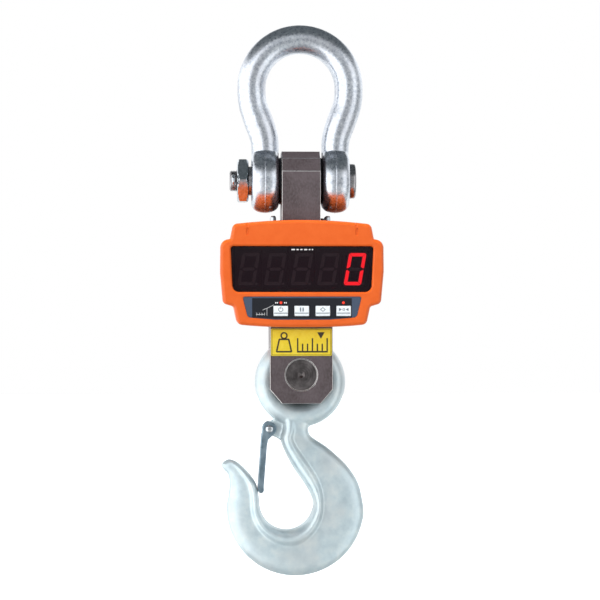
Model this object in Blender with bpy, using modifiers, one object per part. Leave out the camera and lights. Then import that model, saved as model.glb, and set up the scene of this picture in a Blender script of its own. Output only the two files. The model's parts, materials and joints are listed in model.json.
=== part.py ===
"""A hanging crane scale: a bow shackle, a load cell bar through a display casing, and a latched eye hook.

Sizes are in millimetres and become metres as each shape is made. X runs to the right, -Y towards the reader
of the display, and Z up. The origin is the seat of the shackle bow, where a crane's hook carries the scale.
"""
import math

import bmesh
import bpy
import numpy as np
from mathutils import Vector

MM = 0.001
GAP = 0.3  # between pieces that touch on the real object
MERGE = 0.00001

# Shackle: a 12 tonne bow shackle with a headed bolt, a nut and a split pin
BOLT_Z = -153.0
BOW_CENTRE_Z, BOW_RADIUS = -42.0, 59.0
LEG_RADIUS, CROWN_RADIUS = 15.6, 17.0
BOW_TURN = math.radians(33)  # how far the round of the bow runs on below its centre
JAW_HALF, EAR_WIDTH, EAR_RADIUS, EAR_ROUND = 25.5, 33.0, 38.0, 11.0
EAR_X = JAW_HALF + EAR_WIDTH / 2
EAR_FACE = JAW_HALF + EAR_WIDTH
BOLT_RADIUS, BOLT_HOLE = 17.5, 18.2
THREAD_RADIUS, STUB_RADIUS = 16.4, 12.5
SHOULDER_X, NUT_END_X, STUB_END_X = -61.5, -75.6, -84.4
SPLIT_PIN_X, SPLIT_PIN_WIRE = -80.3, 1.9
NUT_FLATS = 50.0

# Load cell bar, with a fork at its lower end for the hook pin
BAR_X, BAR_Y = 22.75, 37.5
FORK_X, FORK_BOTTOM, SLOT_HALF, SLOT_TOP = 37.0, -417.8, 17.5, -326.0
PIN_Z, PIN_RADIUS, PIN_HOLE = -384.0, 19.0, 19.3
GAUGE_Z = -250.0

# Hook
EYE_Z, EYE_MAJOR, EYE_MINOR, EYE_HALF = -393.6, 41.7, 12.6, 15.5
BOWL_INNER, BOWL_OUTER = (-17.5, -537.0, 33.4), (-6.4, -544.4, 81.7)
LATCH_X, LATCH_Z = -37.0, -449.5
LATCH_HALF, LATCH_WALL, LUG_HALF, LUG_RADIUS = 11.0, 2.5, 5.0, 6.8

# Casing
CASE_FRONT, CASE_WALL, CASE_PARTING = 60.0, 4.0, 1.2
TOP_Z, BOTTOM_Z = -201.9, -327.4
CASE_SCREWS = {"upper_left": (-73.5, -214.5), "upper_right": (73.5, -214.5),
               "lower_left": (-70.5, -305.0), "lower_right": (70.5, -305.0)}
WINDOW = [(83.6, -232.6, 3.5), (81.2, -286.3, 8.0), (-81.2, -286.3, 8.0), (-83.6, -232.6, 3.5)]
KEYPAD = [(69.9, -291.5, 2.5), (63.8, -316.0, 5.0), (32.0, -318.7, 0), (0, -319.5, 0),
          (-32.0, -318.7, 0), (-63.8, -316.0, 5.0), (-69.9, -291.5, 2.5)]
KEYPAD_DEPTH = 1.2
KEYS = {"key_power": -25.1, "key_hold": -0.5, "key_tare": 24.1, "key_zero": 48.5}
KEY_Z, KEY_HALF_X, KEY_HALF_Z = -308.4, 8.45, 5.9
LAMPS = {"unit_led": -24.8, "stable_led": 48.2}
LAMP_Z, LAMP_RADIUS = -298.8, 1.5
DIGIT_PITCH, DIGIT_Z, DIGIT_HALF_X, DIGIT_HALF_Z = 31.2, -259.4, 15.4, 23.5
TOP_OPENING, BOTTOM_OPENING, OPENING_Y = 26.4, 40.6, 41.2
BRACKET_SCREWS = {"front_left": (-32.5, -12), "front_right": (32.5, -12),
                  "rear_left": (-32.5, 12), "rear_right": (32.5, 12)}
CHARGE_X, CHARGE_Y = 27.2, 48.0
BATTERY_RECESS = (-76.0, -30.0, -298.0, -222.0)
COVER_SCREWS = {"upper": (-53.0, -226.4), "lower": (-53.0, -293.6)}

# Finish: colour as red, green and blue, then metallic and roughness
FINISHES = {
    "galvanised_steel": ((0.58, 0.62, 0.64), 1.0, 0.38),
    "zinc_plated_steel": ((0.66, 0.70, 0.72), 1.0, 0.30),
    "hook_zinc": ((0.62, 0.74, 0.78), 0.9, 0.40),
    "dark_steel": ((0.10, 0.11, 0.12), 0.9, 0.45),
    "brushed_steel": ((0.30, 0.27, 0.26), 1.0, 0.36),
    "orange_coat": ((0.87, 0.17, 0.03), 0.0, 0.42),
    "black_rubber": ((0.02, 0.02, 0.02), 0.0, 0.80),
    "dark_window": ((0.02, 0.004, 0.004), 0.0, 0.08),
    "digit_module": ((0.05, 0.045, 0.045), 0.0, 0.50),
    "keypad_film": ((0.02, 0.03, 0.05), 0.0, 0.35),
    "key_white": ((0.75, 0.78, 0.80), 0.0, 0.45),
    "lamp_red": ((0.80, 0.05, 0.03), 0.0, 0.20),
    "yellow_label": ((0.80, 0.58, 0.02), 0.0, 0.40),
    "circuit_board": ((0.02, 0.16, 0.07), 0.0, 0.50),
    "battery_wrap": ((0.05, 0.10, 0.30), 0.0, 0.40),
    "black_plastic": ((0.03, 0.03, 0.03), 0.0, 0.50),
}


def clear_scene():
    for obj in list(bpy.data.objects):
        bpy.data.objects.remove(obj, do_unlink=True)


def add_collection(name):
    collection = bpy.data.collections.new(name)
    bpy.context.scene.collection.children.link(collection)
    return collection


clear_scene()
PARTS = add_collection("crane_scale")
CUTTERS = add_collection("cutters")
CUTTERS.hide_render = True


# ---- Shapes -------------------------------------------------------------------------------------------------

def place(name, data, at=(0, 0, 0), turn=(0, 0, 0)):
    obj = bpy.data.objects.new(name, data)
    obj.location = Vector(at) * MM
    obj.rotation_euler = turn
    PARTS.objects.link(obj)
    return obj


def mesh_from(name, shape):
    mesh = bpy.data.meshes.new(name)
    shape.to_mesh(mesh)
    shape.free()
    return mesh


def box(name, low, high):
    """A rectangular block between two opposite corners."""
    low, high = np.array(low, float), np.array(high, float)
    shape = bmesh.new()
    bmesh.ops.create_cube(shape, size=1)
    bmesh.ops.scale(shape, vec=(high - low) * MM, verts=shape.verts)
    return place(name, mesh_from(name, shape), (low + high) / 2)


def rod(name, radius, start, end, sides=24):
    """A round bar from one point to another."""
    start, end = Vector(start), Vector(end)
    shape = bmesh.new()
    bmesh.ops.create_cone(shape, cap_ends=True, segments=sides, radius1=radius * MM,
                          radius2=radius * MM, depth=(end - start).length * MM)
    obj = place(name, mesh_from(name, shape), (start + end) / 2)
    obj.rotation_euler = (end - start).to_track_quat("Z", "Y").to_euler()
    return obj


def turned(name, profile, centre, direction, steps=36, ring=False):
    """A (radius, distance) profile turned about an axis; it runs down its outer side from the far end."""
    points = [(radius * MM, 0, distance * MM) for radius, distance in profile]
    edges = [(i, i + 1) for i in range(len(points) - 1)]
    if ring:
        edges.append((len(points) - 1, 0))
    mesh = bpy.data.meshes.new(name)
    mesh.from_pydata(points, edges, [])
    obj = place(name, mesh, centre)
    obj.rotation_euler = Vector(direction).to_track_quat("Z", "Y").to_euler()
    screw = obj.modifiers.new("turned", "SCREW")
    screw.steps = screw.render_steps = steps
    screw.use_merge_vertices = True
    screw.merge_threshold = MERGE
    return obj


def add_spline(curve, points, closed):
    spline = curve.splines.new("POLY")
    spline.points.add(len(points) - 1)
    for spot, point in zip(spline.points, points):
        spot.co = (*(Vector(point) * MM), 1)
    spline.use_cyclic_u = closed
    return spline


def solid(curve_object):
    """The curve object made a mesh object, with its caps welded on."""
    graph = bpy.context.evaluated_depsgraph_get()
    mesh = bpy.data.meshes.new_from_object(curve_object.evaluated_get(graph))
    shape = bmesh.new()
    shape.from_mesh(mesh)
    bmesh.ops.remove_doubles(shape, verts=shape.verts, dist=MERGE)
    bmesh.ops.recalc_face_normals(shape, faces=shape.faces)
    shape.to_mesh(mesh)
    shape.free()
    name, matrix = curve_object.name, curve_object.matrix_world.copy()
    bpy.data.objects.remove(curve_object)
    obj = place(name, mesh)
    obj.matrix_world = matrix
    return obj


def prism(name, outline, low, high, plane="XZ"):
    """A flat outline in a plane, extruded along the third axis from low to high."""
    curve = bpy.data.curves.new(name, "CURVE")
    curve.dimensions = "2D"
    curve.fill_mode = "BOTH"
    curve.extrude = (high - low) / 2 * MM
    add_spline(curve, [(a, b, 0) for a, b in outline], True)
    middle, quarter = (low + high) / 2, math.pi / 2
    at, turn = {"XY": ((0, 0, middle), (0, 0, 0)), "XZ": ((0, middle, 0), (quarter, 0, 0)),
                "YZ": ((middle, 0, 0), (quarter, 0, quarter))}[plane]
    return solid(place(name, curve, at, turn))


def tube(name, points, radius, fineness=2):
    """A wire along points, with flat ends; it has 4 + 2 x fineness sides."""
    curve = bpy.data.curves.new(name, "CURVE")
    curve.dimensions = "3D"
    curve.bevel_depth = radius * MM
    curve.bevel_resolution = fineness
    curve.use_fill_caps = True
    add_spline(curve, points, False)
    return place(name, curve)


def loft(name, loops):
    """A solid through closed loops of the same number of points, with its first and last loop filled."""
    count = len(loops[0])
    corner = np.arange(count)
    beside = (corner + 1) % count
    faces = [range(count), range((len(loops) - 1) * count, len(loops) * count)]
    for ring in range(len(loops) - 1):
        low, high = ring * count, (ring + 1) * count
        faces += np.stack([low + corner, low + beside, high + beside, high + corner], axis=1).tolist()
    mesh = bpy.data.meshes.new(name)
    mesh.from_pydata(np.concatenate(loops) * MM, [], faces)
    shape = bmesh.new()
    shape.from_mesh(mesh)
    bmesh.ops.recalc_face_normals(shape, faces=shape.faces)
    shape.to_mesh(mesh)
    shape.free()
    return place(name, mesh)


def combine(obj, others, operation):
    """Booleans of obj with other shapes, which then stay only as wire helpers."""
    for other in others:
        PARTS.objects.unlink(other)
        CUTTERS.objects.link(other)
        other.hide_render = True
        other.display_type = "WIRE"
        modifier = obj.modifiers.new(other.name, "BOOLEAN")
        modifier.operation = operation
        modifier.object = other
    return obj


def cut(obj, *others):
    return combine(obj, others, "DIFFERENCE")


def join(obj, *others):
    return combine(obj, others, "UNION")


def common(obj, *others):
    return combine(obj, others, "INTERSECT")


def rounded(corners):
    """A closed outline through (a, b, radius) corners, each rounded by an arc of its radius."""
    outline = []
    for i, (a, b, radius) in enumerate(corners):
        here = np.array([a, b], float)
        if radius == 0:
            outline.append(here)
            continue
        before = np.array(corners[i - 1][:2]) - here
        after = np.array(corners[(i + 1) % len(corners)][:2]) - here
        before, after = before / np.linalg.norm(before), after / np.linalg.norm(after)
        half = math.acos(before @ after) / 2
        middle = (before + after) / np.linalg.norm(before + after)
        centre = here + middle * radius / math.sin(half)
        start = here + before * radius / math.tan(half) - centre
        left_turn = before[0] * after[1] - before[1] * after[0] < 0
        sweep = (math.pi - 2 * half) * (1 if left_turn else -1)
        for turn in np.linspace(0, sweep, 2 + round(abs(sweep) / math.radians(20))):
            outline.append(centre + (start[0] * math.cos(turn) - start[1] * math.sin(turn),
                                     start[0] * math.sin(turn) + start[1] * math.cos(turn)))
    return np.array(outline)


def inset(outline, distance):
    """The outline moved inwards by a distance, or outwards where it is negative, point for point."""
    edges = np.roll(outline, -1, axis=0) - outline
    edges /= np.linalg.norm(edges, axis=1, keepdims=True)
    area = np.sum(outline[:, 0] * np.roll(outline[:, 1], -1) - np.roll(outline[:, 0], -1) * outline[:, 1])
    inward = np.stack([-edges[:, 1], edges[:, 0]], axis=1) * np.sign(area)
    earlier = np.roll(inward, 1, axis=0)
    mitre = (inward + earlier) / (1 + np.sum(inward * earlier, axis=1, keepdims=True))
    return outline + mitre * distance


def upright(outline, y):
    """An outline of (x, z) points as a loop at one depth."""
    return np.stack([outline[:, 0], np.full(len(outline), y), outline[:, 1]], axis=1)


def smooth(stations, between):
    """Rows of numbers joined by Catmull-Rom splines, with steps between each pair of stations."""
    rows = np.array(stations, float)
    rows = np.vstack([2 * rows[0] - rows[1], rows, 2 * rows[-1] - rows[-2]])
    t = np.arange(between)[:, None] / between
    spans = [0.5 * (2 * b + (c - a) * t + (2 * a - 5 * b + 4 * c - d) * t**2 + (3 * b - a - 3 * c + d) * t**3)
             for a, b, c, d in zip(rows, rows[1:], rows[2:], rows[3:])]
    return np.vstack([*spans, rows[-2]])


def half_ring(start, end, centre, radius, steps):
    """Points on an arc between two angles in degrees."""
    turns = np.radians(np.linspace(start, end, steps))
    return [(centre[0] + radius * math.cos(turn), centre[1] + radius * math.sin(turn)) for turn in turns]


def hexagon(name, flats, start, end):
    """A hexagonal bar from one point to another, a given size across its flats."""
    return rod(name, flats / math.sqrt(3), start, end, sides=6)


# ---- Finish and joints --------------------------------------------------------------------------------------

def finish(obj, kind):
    colour, metallic, roughness = FINISHES[kind]
    material = bpy.data.materials.new(f"{obj.name}_{kind}")
    material.use_nodes = True
    shader = material.node_tree.nodes["Principled BSDF"]
    shader.inputs["Base Color"].default_value = (*colour, 1)
    shader.inputs["Metallic"].default_value = metallic
    shader.inputs["Roughness"].default_value = roughness
    obj.data.materials.clear()
    obj.data.materials.append(material)
    if obj.type == "MESH" and obj.data.polygons:
        obj.data.shade_smooth()
        obj.data.set_sharp_from_angle(angle=math.radians(35))
    return obj


def pivot(name, x, z, parent=None):
    """An empty on a joint's axis, for the pieces that turn about it."""
    empty = bpy.data.objects.new(name, None)
    empty.empty_display_size = 0.02
    PARTS.objects.link(empty)
    empty.location = Vector((x, 0, z)) * MM
    if parent:
        empty.parent = parent
        empty.location -= parent.location
    return empty


def hang_on(empty, pieces):
    """Parents pieces to a pivot where they are."""
    bpy.context.view_layer.update()
    for piece in pieces:
        piece.parent = empty
        piece.matrix_parent_inverse = empty.matrix_world.inverted()


# ---- Shackle ------------------------------------------------------------------------------------------------

def bow_leg():
    """The right half of the bow's centre line and its radii, from the ear up to the crown."""
    corner_x = BOW_RADIUS * math.cos(BOW_TURN)
    corner_z = BOW_CENTRE_Z - BOW_RADIUS * math.sin(BOW_TURN)
    swing = 14.0
    handle_x, handle_z = corner_x - swing * math.sin(BOW_TURN), corner_z - swing * math.cos(BOW_TURN)
    rows = [(EAR_X, BOLT_Z + 12, LEG_RADIUS)]
    for t in np.linspace(0, 1, 7):
        weights = (1 - t)**3, 3 * t * (1 - t)**2, 3 * t**2 * (1 - t), t**3
        rows.append((weights @ np.array([EAR_X, EAR_X, handle_x, corner_x]),
                     weights @ np.array([-120.0, -100.0, handle_z, corner_z]), LEG_RADIUS))
    for turn in np.linspace(-BOW_TURN, math.pi / 2, 15)[1:]:
        swell = max(0.0, math.sin(turn))**2
        rows.append((BOW_RADIUS * math.cos(turn), BOW_CENTRE_Z + BOW_RADIUS * math.sin(turn),
                     LEG_RADIUS + (CROWN_RADIUS - LEG_RADIUS) * swell))
    return rows


def make_ear(name, side):
    quarter = np.radians(np.linspace(90, 0, 5))
    half = EAR_WIDTH / 2
    upper = [(EAR_RADIUS - EAR_ROUND + EAR_ROUND * math.cos(turn), half - EAR_ROUND + EAR_ROUND * math.sin(turn))
             for turn in quarter]
    lower = [(radius, -distance) for radius, distance in reversed(upper)]
    return turned(name, [(0, half), *upper, *lower, (0, -half)], (side * EAR_X, 0, BOLT_Z), (1, 0, 0),
                  steps=28)


def make_bow():
    right = bow_leg()
    left = [(-x, z, radius) for x, z, radius in reversed(right[:-1])]
    rows = right + left
    curve_object = tube("shackle_bow", [(x, 0, z) for x, z, _ in rows], CROWN_RADIUS, fineness=6)
    for spot, (_, _, radius) in zip(curve_object.data.splines[0].points, rows):
        spot.radius = radius / CROWN_RADIUS
    bow = solid(curve_object)
    join(bow, make_ear("ear_left", -1), make_ear("ear_right", 1))
    cut(bow, rod("bolt_bore", BOLT_HOLE, (-80, 0, BOLT_Z), (80, 0, BOLT_Z), sides=32))
    return finish(bow, "galvanised_steel")


def make_bolt():
    head_face, head_end, head_radius, chamfer = EAR_FACE + GAP, 66.4, 20.8, 2.8
    profile = [(0, head_end), (head_radius - chamfer, head_end), (head_radius, head_end - chamfer),
               (head_radius, head_face), (BOLT_RADIUS, head_face), (BOLT_RADIUS, SHOULDER_X),
               (THREAD_RADIUS, SHOULDER_X), (THREAD_RADIUS, NUT_END_X - 1.2), (STUB_RADIUS, NUT_END_X - 2.0),
               (STUB_RADIUS, STUB_END_X + 1.2), (STUB_RADIUS - 1.2, STUB_END_X), (0, STUB_END_X)]
    bolt = turned("shackle_bolt", profile, (0, 0, BOLT_Z), (1, 0, 0), steps=32)
    cut(bolt, rod("split_pin_hole", SPLIT_PIN_WIRE + 0.5, (SPLIT_PIN_X, -20, BOLT_Z), (SPLIT_PIN_X, 20, BOLT_Z),
                  sides=16))
    return finish(bolt, "zinc_plated_steel")


def make_nut():
    near, far, corner = SHOULDER_X - 0.4, NUT_END_X, NUT_FLATS / math.sqrt(3)
    nut = hexagon("shackle_nut", NUT_FLATS, (near, 0, BOLT_Z), (far, 0, BOLT_Z))
    edge = 26.6
    dome = [(0, near + 1), (edge - 0.8, near + 1), (corner + 0.6, near - 1.8), (corner + 0.6, far + 1.8),
            (edge - 0.8, far - 1), (0, far - 1)]
    common(nut, turned("nut_chamfer", dome, (0, 0, BOLT_Z), (1, 0, 0), steps=36))
    cut(nut, rod("nut_bore", THREAD_RADIUS + 0.4, (near + 2, 0, BOLT_Z), (far - 2, 0, BOLT_Z), sides=32))
    return finish(nut, "zinc_plated_steel")


def make_split_pin():
    """A wire through the bolt's stub: a ring eye in front, and a leg bent up behind."""
    eye_radius, front, back = 4.6, -15.5, 14.5
    eye = [(SPLIT_PIN_X, front - eye_radius + eye_radius * math.cos(turn), BOLT_Z + eye_radius * math.sin(turn))
           for turn in np.radians(np.linspace(-308, 0, 14))]
    leg = [(SPLIT_PIN_X, y, BOLT_Z) for y in (-8, 0, 8, back)]
    tail = [(SPLIT_PIN_X - 1.4, back + 3.4, BOLT_Z + 2.0), (SPLIT_PIN_X - 3.6, back + 5.2, BOLT_Z + 6.4),
            (SPLIT_PIN_X - 6.0, back + 5.8, BOLT_Z + 11.5)]
    return finish(tube("split_pin", [*eye, *leg, *tail], SPLIT_PIN_WIRE), "zinc_plated_steel")


def make_spacer(name, side):
    outer, inner, near, far = 28.0, 18.5, BAR_X + GAP, JAW_HALF - 0.4
    ring = [(outer, far), (outer, near), (inner, near), (inner, far)]
    return finish(turned(name, ring, (0, 0, BOLT_Z), (side, 0, 0), ring=True), "dark_steel")


def make_shackle():
    return [make_bow(), make_bolt(), make_nut(), make_split_pin(), make_spacer("spacer_washer_left", -1),
            make_spacer("spacer_washer_right", 1)]


# ---- Load cell and hook pin ---------------------------------------------------------------------------------

def across(name, radius, z, start, end, x=0, sides=32):
    """A round cutter or bar along Y."""
    return rod(name, radius, (x, start, z), (x, end, z), sides)


def mirrored(points):
    """An outline of the right half, with the left half added."""
    return [*points, *[(-x, *rest) for x, *rest in reversed(points)]]


def make_load_cell():
    front = mirrored([(BAR_X, -117.0), (BAR_X, -300.0), (FORK_X, -312.0), (FORK_X, -401.2), (22.8, FORK_BOTTOM)])
    side = mirrored([(16.0, -118.7), (30.0, -127.8), (BAR_Y, -143.4), (BAR_Y, -420.0)])
    bar = prism("load_cell_body", front, -BAR_Y - 2, BAR_Y + 2)
    common(bar, prism("bar_side", side, -FORK_X - 2, FORK_X + 2, "YZ"))
    cut(bar, box("fork_slot", (-50, -SLOT_HALF, -430), (50, SLOT_HALF, SLOT_TOP)),
        rod("bar_bolt_bore", BOLT_HOLE, (-40, 0, BOLT_Z), (40, 0, BOLT_Z), 32),
        across("bar_pin_bore", PIN_HOLE, PIN_Z, -45, 45),
        rod("cable_hole", 3.0, (15, 0, GAUGE_Z), (30, 0, GAUGE_Z), 12))
    for side in (-1, 1):
        cut(bar, across(f"gauge_pocket_{side}", 15.0, GAUGE_Z, side * 23.5, side * 40),
            across(f"gauge_step_{side}", 18.2, GAUGE_Z, side * 35.1, side * 42))
    for x in (-22, 22):
        cut(bar, across(f"keeper_thread_{x}", 3.3, PIN_Z + 21, 24.5, 42, x, 12))
    return finish(bar, "brushed_steel")


def make_gauge_cover(name, side):
    return finish(across(name, 17.8, GAUGE_Z, side * 35.4, side * 37.2), "brushed_steel")


def make_hook_pin():
    face, back, chamfer = 37.2, -48.0, 1.4
    profile = [(0, face - 1.6), (2.4, face), (PIN_RADIUS - chamfer, face), (PIN_RADIUS, face - chamfer),
               (PIN_RADIUS, back + chamfer), (PIN_RADIUS - chamfer, back), (0, back)]
    pin = turned("hook_pin", profile, (0, 0, PIN_Z), (0, -1, 0))
    cut(pin, box("keeper_slot", (-25, 37.9, PIN_Z + 12.1), (25, 44.6, PIN_Z + 25)))
    return finish(pin, "brushed_steel")


def make_keeper():
    """The plate behind the fork that sits in the pin's slot, and its two bolts."""
    low, high, near, far, bolt_z = PIN_Z + 12.4, PIN_Z + 30.0, BAR_Y + 0.4, 44.2, PIN_Z + 21
    plate = box("keeper_plate", (-30, near, low), (30, far, high))
    pieces = [finish(plate, "zinc_plated_steel")]
    for name, x in (("keeper_bolt_left", -22), ("keeper_bolt_right", 22)):
        cut(plate, across(f"{name}_hole", 3.4, bolt_z, near - 2, far + 2, x, 12))
        bolt = hexagon(name, 10.0, (x, far + GAP, bolt_z), (x, far + 4.4, bolt_z))
        join(bolt, across(f"{name}_shank", 3.0, bolt_z, 26, far + 2, x, 12))
        pieces.append(finish(bolt, "zinc_plated_steel"))
    return pieces


def make_label():
    """The yellow plate under the casing, on the front of the fork."""
    return finish(box("capacity_label", (-35.8, -38.3, -361.5), (35.8, -BAR_Y - GAP, -329.4)), "yellow_label")


def make_load_path():
    return [make_load_cell(), make_gauge_cover("gauge_cover_front", -1), make_gauge_cover("gauge_cover_rear", 1),
            make_hook_pin(), *make_keeper(), make_label()]


# ---- Hook and latch -----------------------------------------------------------------------------------------

def bowl_station(angle, inner_half, outer_half):
    """The hook's inner and outer edge on the bowl's two circles at one angle, and its half thicknesses."""
    turn = math.radians(angle)
    edges = [(x + radius * math.cos(turn), z + radius * math.sin(turn))
             for x, z, radius in (BOWL_INNER, BOWL_OUTER)]
    return (*edges[0], *edges[1], inner_half, outer_half)


def hook_section(station, sides=16):
    """A rounded wedge between the inner and the outer edge, thicker along one than along the other."""
    inner, outer, (inner_half, outer_half) = station[:2], station[2:4], station[4:]
    turns = np.linspace(0, 2 * np.pi, sides, endpoint=False)
    squareness = 0.78
    across_web = -np.sign(np.cos(turns)) * np.abs(np.cos(turns))**squareness
    depth = np.sign(np.sin(turns)) * np.abs(np.sin(turns))**squareness
    share = (across_web[:, None] + 1) / 2
    spot = inner + (outer - inner) * share
    half = inner_half + (outer_half - inner_half) * share[:, 0]
    return np.stack([spot[:, 0], depth * half, spot[:, 1]], axis=1)


def make_hook():
    neck = [(-16, -434, 12, -434, 11, 11), (-19.5, -444, 10, -443, 13, 13), (-20.5, -452, 9.6, -451.5, 14, 14),
            (-22.5, -463, 15, -459, 15, 14), (-17.5, -477, 31, -471, 17, 14), (-7, -496, 46.5, -484.5, 18.5, 14),
            (4, -512.5, 60.5, -500, 20, 14), (12, -527, 70.5, -519, 20.5, 13.5)]
    bowl = [bowl_station(angle, 20.5, 13.5) for angle in np.linspace(-3, -183, 10)]
    nose = [(-53, -519, -86.3, -530, 18, 13), (-58, -508.5, -84.6, -515.5, 15, 12),
            (-65.5, -498.5, -86, -504.5, 12.5, 10.5), (-73.5, -491, -91, -497.5, 9.5, 8),
            (-80.5, -487.4, -92, -492.8, 6, 5.5)]
    hook = loft("hook", [hook_section(row) for row in smooth([*neck, *bowl, *nose], 2)])
    turns = np.linspace(0, -2 * np.pi, 12, endpoint=False)
    eye = [(EYE_MAJOR + EYE_MINOR * math.cos(turn), EYE_HALF * math.sin(turn)) for turn in turns]
    lug = [(-18, -436), (-18, -466), (-30, -464), *half_ring(250, 100, (LATCH_X, LATCH_Z), LUG_RADIUS, 8), (-27, -434)]
    join(hook, turned("hook_eye", eye, (0, 0, EYE_Z), (0, 1, 0), ring=True),
         prism("latch_lug", lug, -LUG_HALF, LUG_HALF))
    cut(hook, across("latch_pin_bore", 4.4, LATCH_Z, -20, 20, LATCH_X, 16))
    return finish(hook, "hook_zinc")


def make_latch():
    """A channel of folded sheet: two cheeks on the lug, and a face that bars the mouth of the hook."""
    round_end = half_ring(180, -40, (LATCH_X, LATCH_Z), 8.4, 9)
    tip = [(-43.4, -518), (-45.0, -525.5), (-50.0, -526.5), (-51.1, -520)]
    outline = [(-46.9, -456), *round_end, (-39.5, -466), *tip]
    inner = [(-44.3, -437), (-20, -437), (-20, -530), (-48.5, -530), (-48.3, -520)]
    latch = prism("latch", outline, -LATCH_HALF, LATCH_HALF)
    cut(latch, prism("latch_inside", inner, -LATCH_HALF + LATCH_WALL, LATCH_HALF - LATCH_WALL),
        across("latch_bore", 4.4, LATCH_Z, -20, 20, LATCH_X, 16))
    return finish(latch, "dark_steel")


def make_latch_pin():
    half, head, shank = LATCH_HALF + GAP, 6.0, 4.0
    profile = [(0, half + 2.2), (head - 1, half + 2.2), (head, half + 1.2), (head, half), (shank, half),
               (shank, -half), (head, -half), (head, -half - 1.2), (head - 1, -half - 2.2), (0, -half - 2.2)]
    return finish(turned("latch_pin", profile, (LATCH_X, 0, LATCH_Z), (0, 1, 0), steps=20), "zinc_plated_steel")


def make_latch_spring():
    """A torsion spring on the latch pin, in front of the lug, with one leg along the latch's face."""
    wire, coil, turns = 0.5, 5.4, 1.3
    start = -LUG_HALF - wire - GAP
    angles = np.linspace(0, -turns * 2 * np.pi, 22)
    rows = [(LATCH_X + coil * math.cos(turn), start - 1.5 * i / 21, LATCH_Z + coil * math.sin(turn))
            for i, turn in enumerate(angles)]
    end = rows[-1]
    leg = [(end[0] - 3.0, end[1], end[2] - 6.0), (end[0] - 4.4, end[1], end[2] - 16.0)]
    return finish(tube("latch_spring", [*rows, *leg], wire, fineness=1), "zinc_plated_steel")


# ---- Casing -------------------------------------------------------------------------------------------------

def case_outline():
    """The casing seen from the front: an arched top, shoulders, swelling sides and a narrower foot."""
    arch = [(x, TOP_Z - 4.3 * (x / 76)**2, 0) for x in (0, 18, 36, 54, 70)]
    sides = [(80.9, -206.6, 7), (84.4, -224.2, 1.5), (95.6, -226.0, 10), (96.0, -262.0, 30), (92.6, -299.6, 6),
             (80.0, -303.4, 4), (75.6, -324.2, 7), (38.0, BOTTOM_Z + 0.4, 0), (0, BOTTOM_Z, 0)]
    right = arch + sides
    left = [(-x, z, radius) for x, z, radius in reversed(right[1:-1])]
    return rounded(right + left)


def make_tub(name, side):
    """One half of the casing: a tub with rounded outer edges, open at the parting plane."""
    outline = case_outline()
    rounding = [(54 + 6 * math.sin(turn), 4 * (1 - math.cos(turn))) for turn in np.radians([0, 30, 60, 90])]
    loops = [(CASE_FRONT - CASE_WALL, CASE_WALL), (CASE_PARTING, CASE_WALL), (CASE_PARTING, 0), *rounding]
    tub = loft(name, [upright(inset(outline, by), side * y) for y, by in loops])
    front = CASE_FRONT - 3
    for place_name, (x, z) in CASE_SCREWS.items():
        join(tub, across(f"{name}_boss_{place_name}", 6.0, z, side * (CASE_PARTING + GAP), side * front, x, 16))
    cut(tub, box(f"{name}_top_opening", (-TOP_OPENING, -OPENING_Y, -215), (TOP_OPENING, OPENING_Y, -190)),
        box(f"{name}_bottom_opening", (-BOTTOM_OPENING, -OPENING_Y, -335), (BOTTOM_OPENING, OPENING_Y, -318)))
    for place_name, (x, y) in BRACKET_SCREWS.items():
        if y * side > 0:
            cut(tub, rod(f"{name}_hole_{place_name}", 2.4, (x, y, -212), (x, y, -195), 12))
    return tub


def make_front_shell():
    shell = make_tub("front_shell", -1)
    outline = rounded(WINDOW)
    bezel = [(-61.0, -2.4), (-CASE_FRONT, -1.6), (-58.2, 0), (-55.0, 0)]
    recess = prism("keypad_recess", rounded(KEYPAD), -62, -CASE_FRONT + KEYPAD_DEPTH)
    cut(shell, loft("window_opening", [upright(inset(outline, by), y) for y, by in bezel]), recess)
    for name, x in KEYS.items():
        cut(shell, key_block(f"{name}_hole", x, 0.4, -62, -52))
    for name, x in LAMPS.items():
        cut(shell, across(f"{name}_hole", LAMP_RADIUS + 0.3, LAMP_Z, -62, -52, x, 12))
    for side in (-1, 1):
        x, y = side * 64, -CASE_FRONT - 0.3
        cut(shell, rod(f"edge_relief_{side}", 2.6, (x, y, -216), (x, y, -200), 16))
    for place_name, (x, z) in CASE_SCREWS.items():
        cut(shell, across(f"front_thread_{place_name}", 2.8, z, -20, 0, x, 12))
    return finish(shell, "orange_coat")


def make_rear_shell():
    shell = make_tub("rear_shell", 1)
    left, right, low, high = BATTERY_RECESS
    for place_name, (x, z) in COVER_SCREWS.items():
        join(shell, across(f"cover_boss_{place_name}", 4.0, z, 48, 57, x, 16))
    cut(shell, box("cover_recess", (left, 57.3, low), (right, 62, high)),
        box("battery_opening", (left + 3, 50, low + 9), (right - 3, 62, high - 9)),
        rod("charge_hole", 5.2, (CHARGE_X, CHARGE_Y, -212), (CHARGE_X, CHARGE_Y, -195), 20))
    for place_name, (x, z) in CASE_SCREWS.items():
        cut(shell, across(f"rear_bore_{place_name}", 2.8, z, 0, 62, x, 12),
            across(f"rear_counterbore_{place_name}", 5.2, z, 54.5, 62, x, 20))
    for place_name, (x, z) in COVER_SCREWS.items():
        cut(shell, across(f"cover_thread_{place_name}", 1.9, z, 50, 62, x, 12))
    return finish(shell, "orange_coat")


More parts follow.
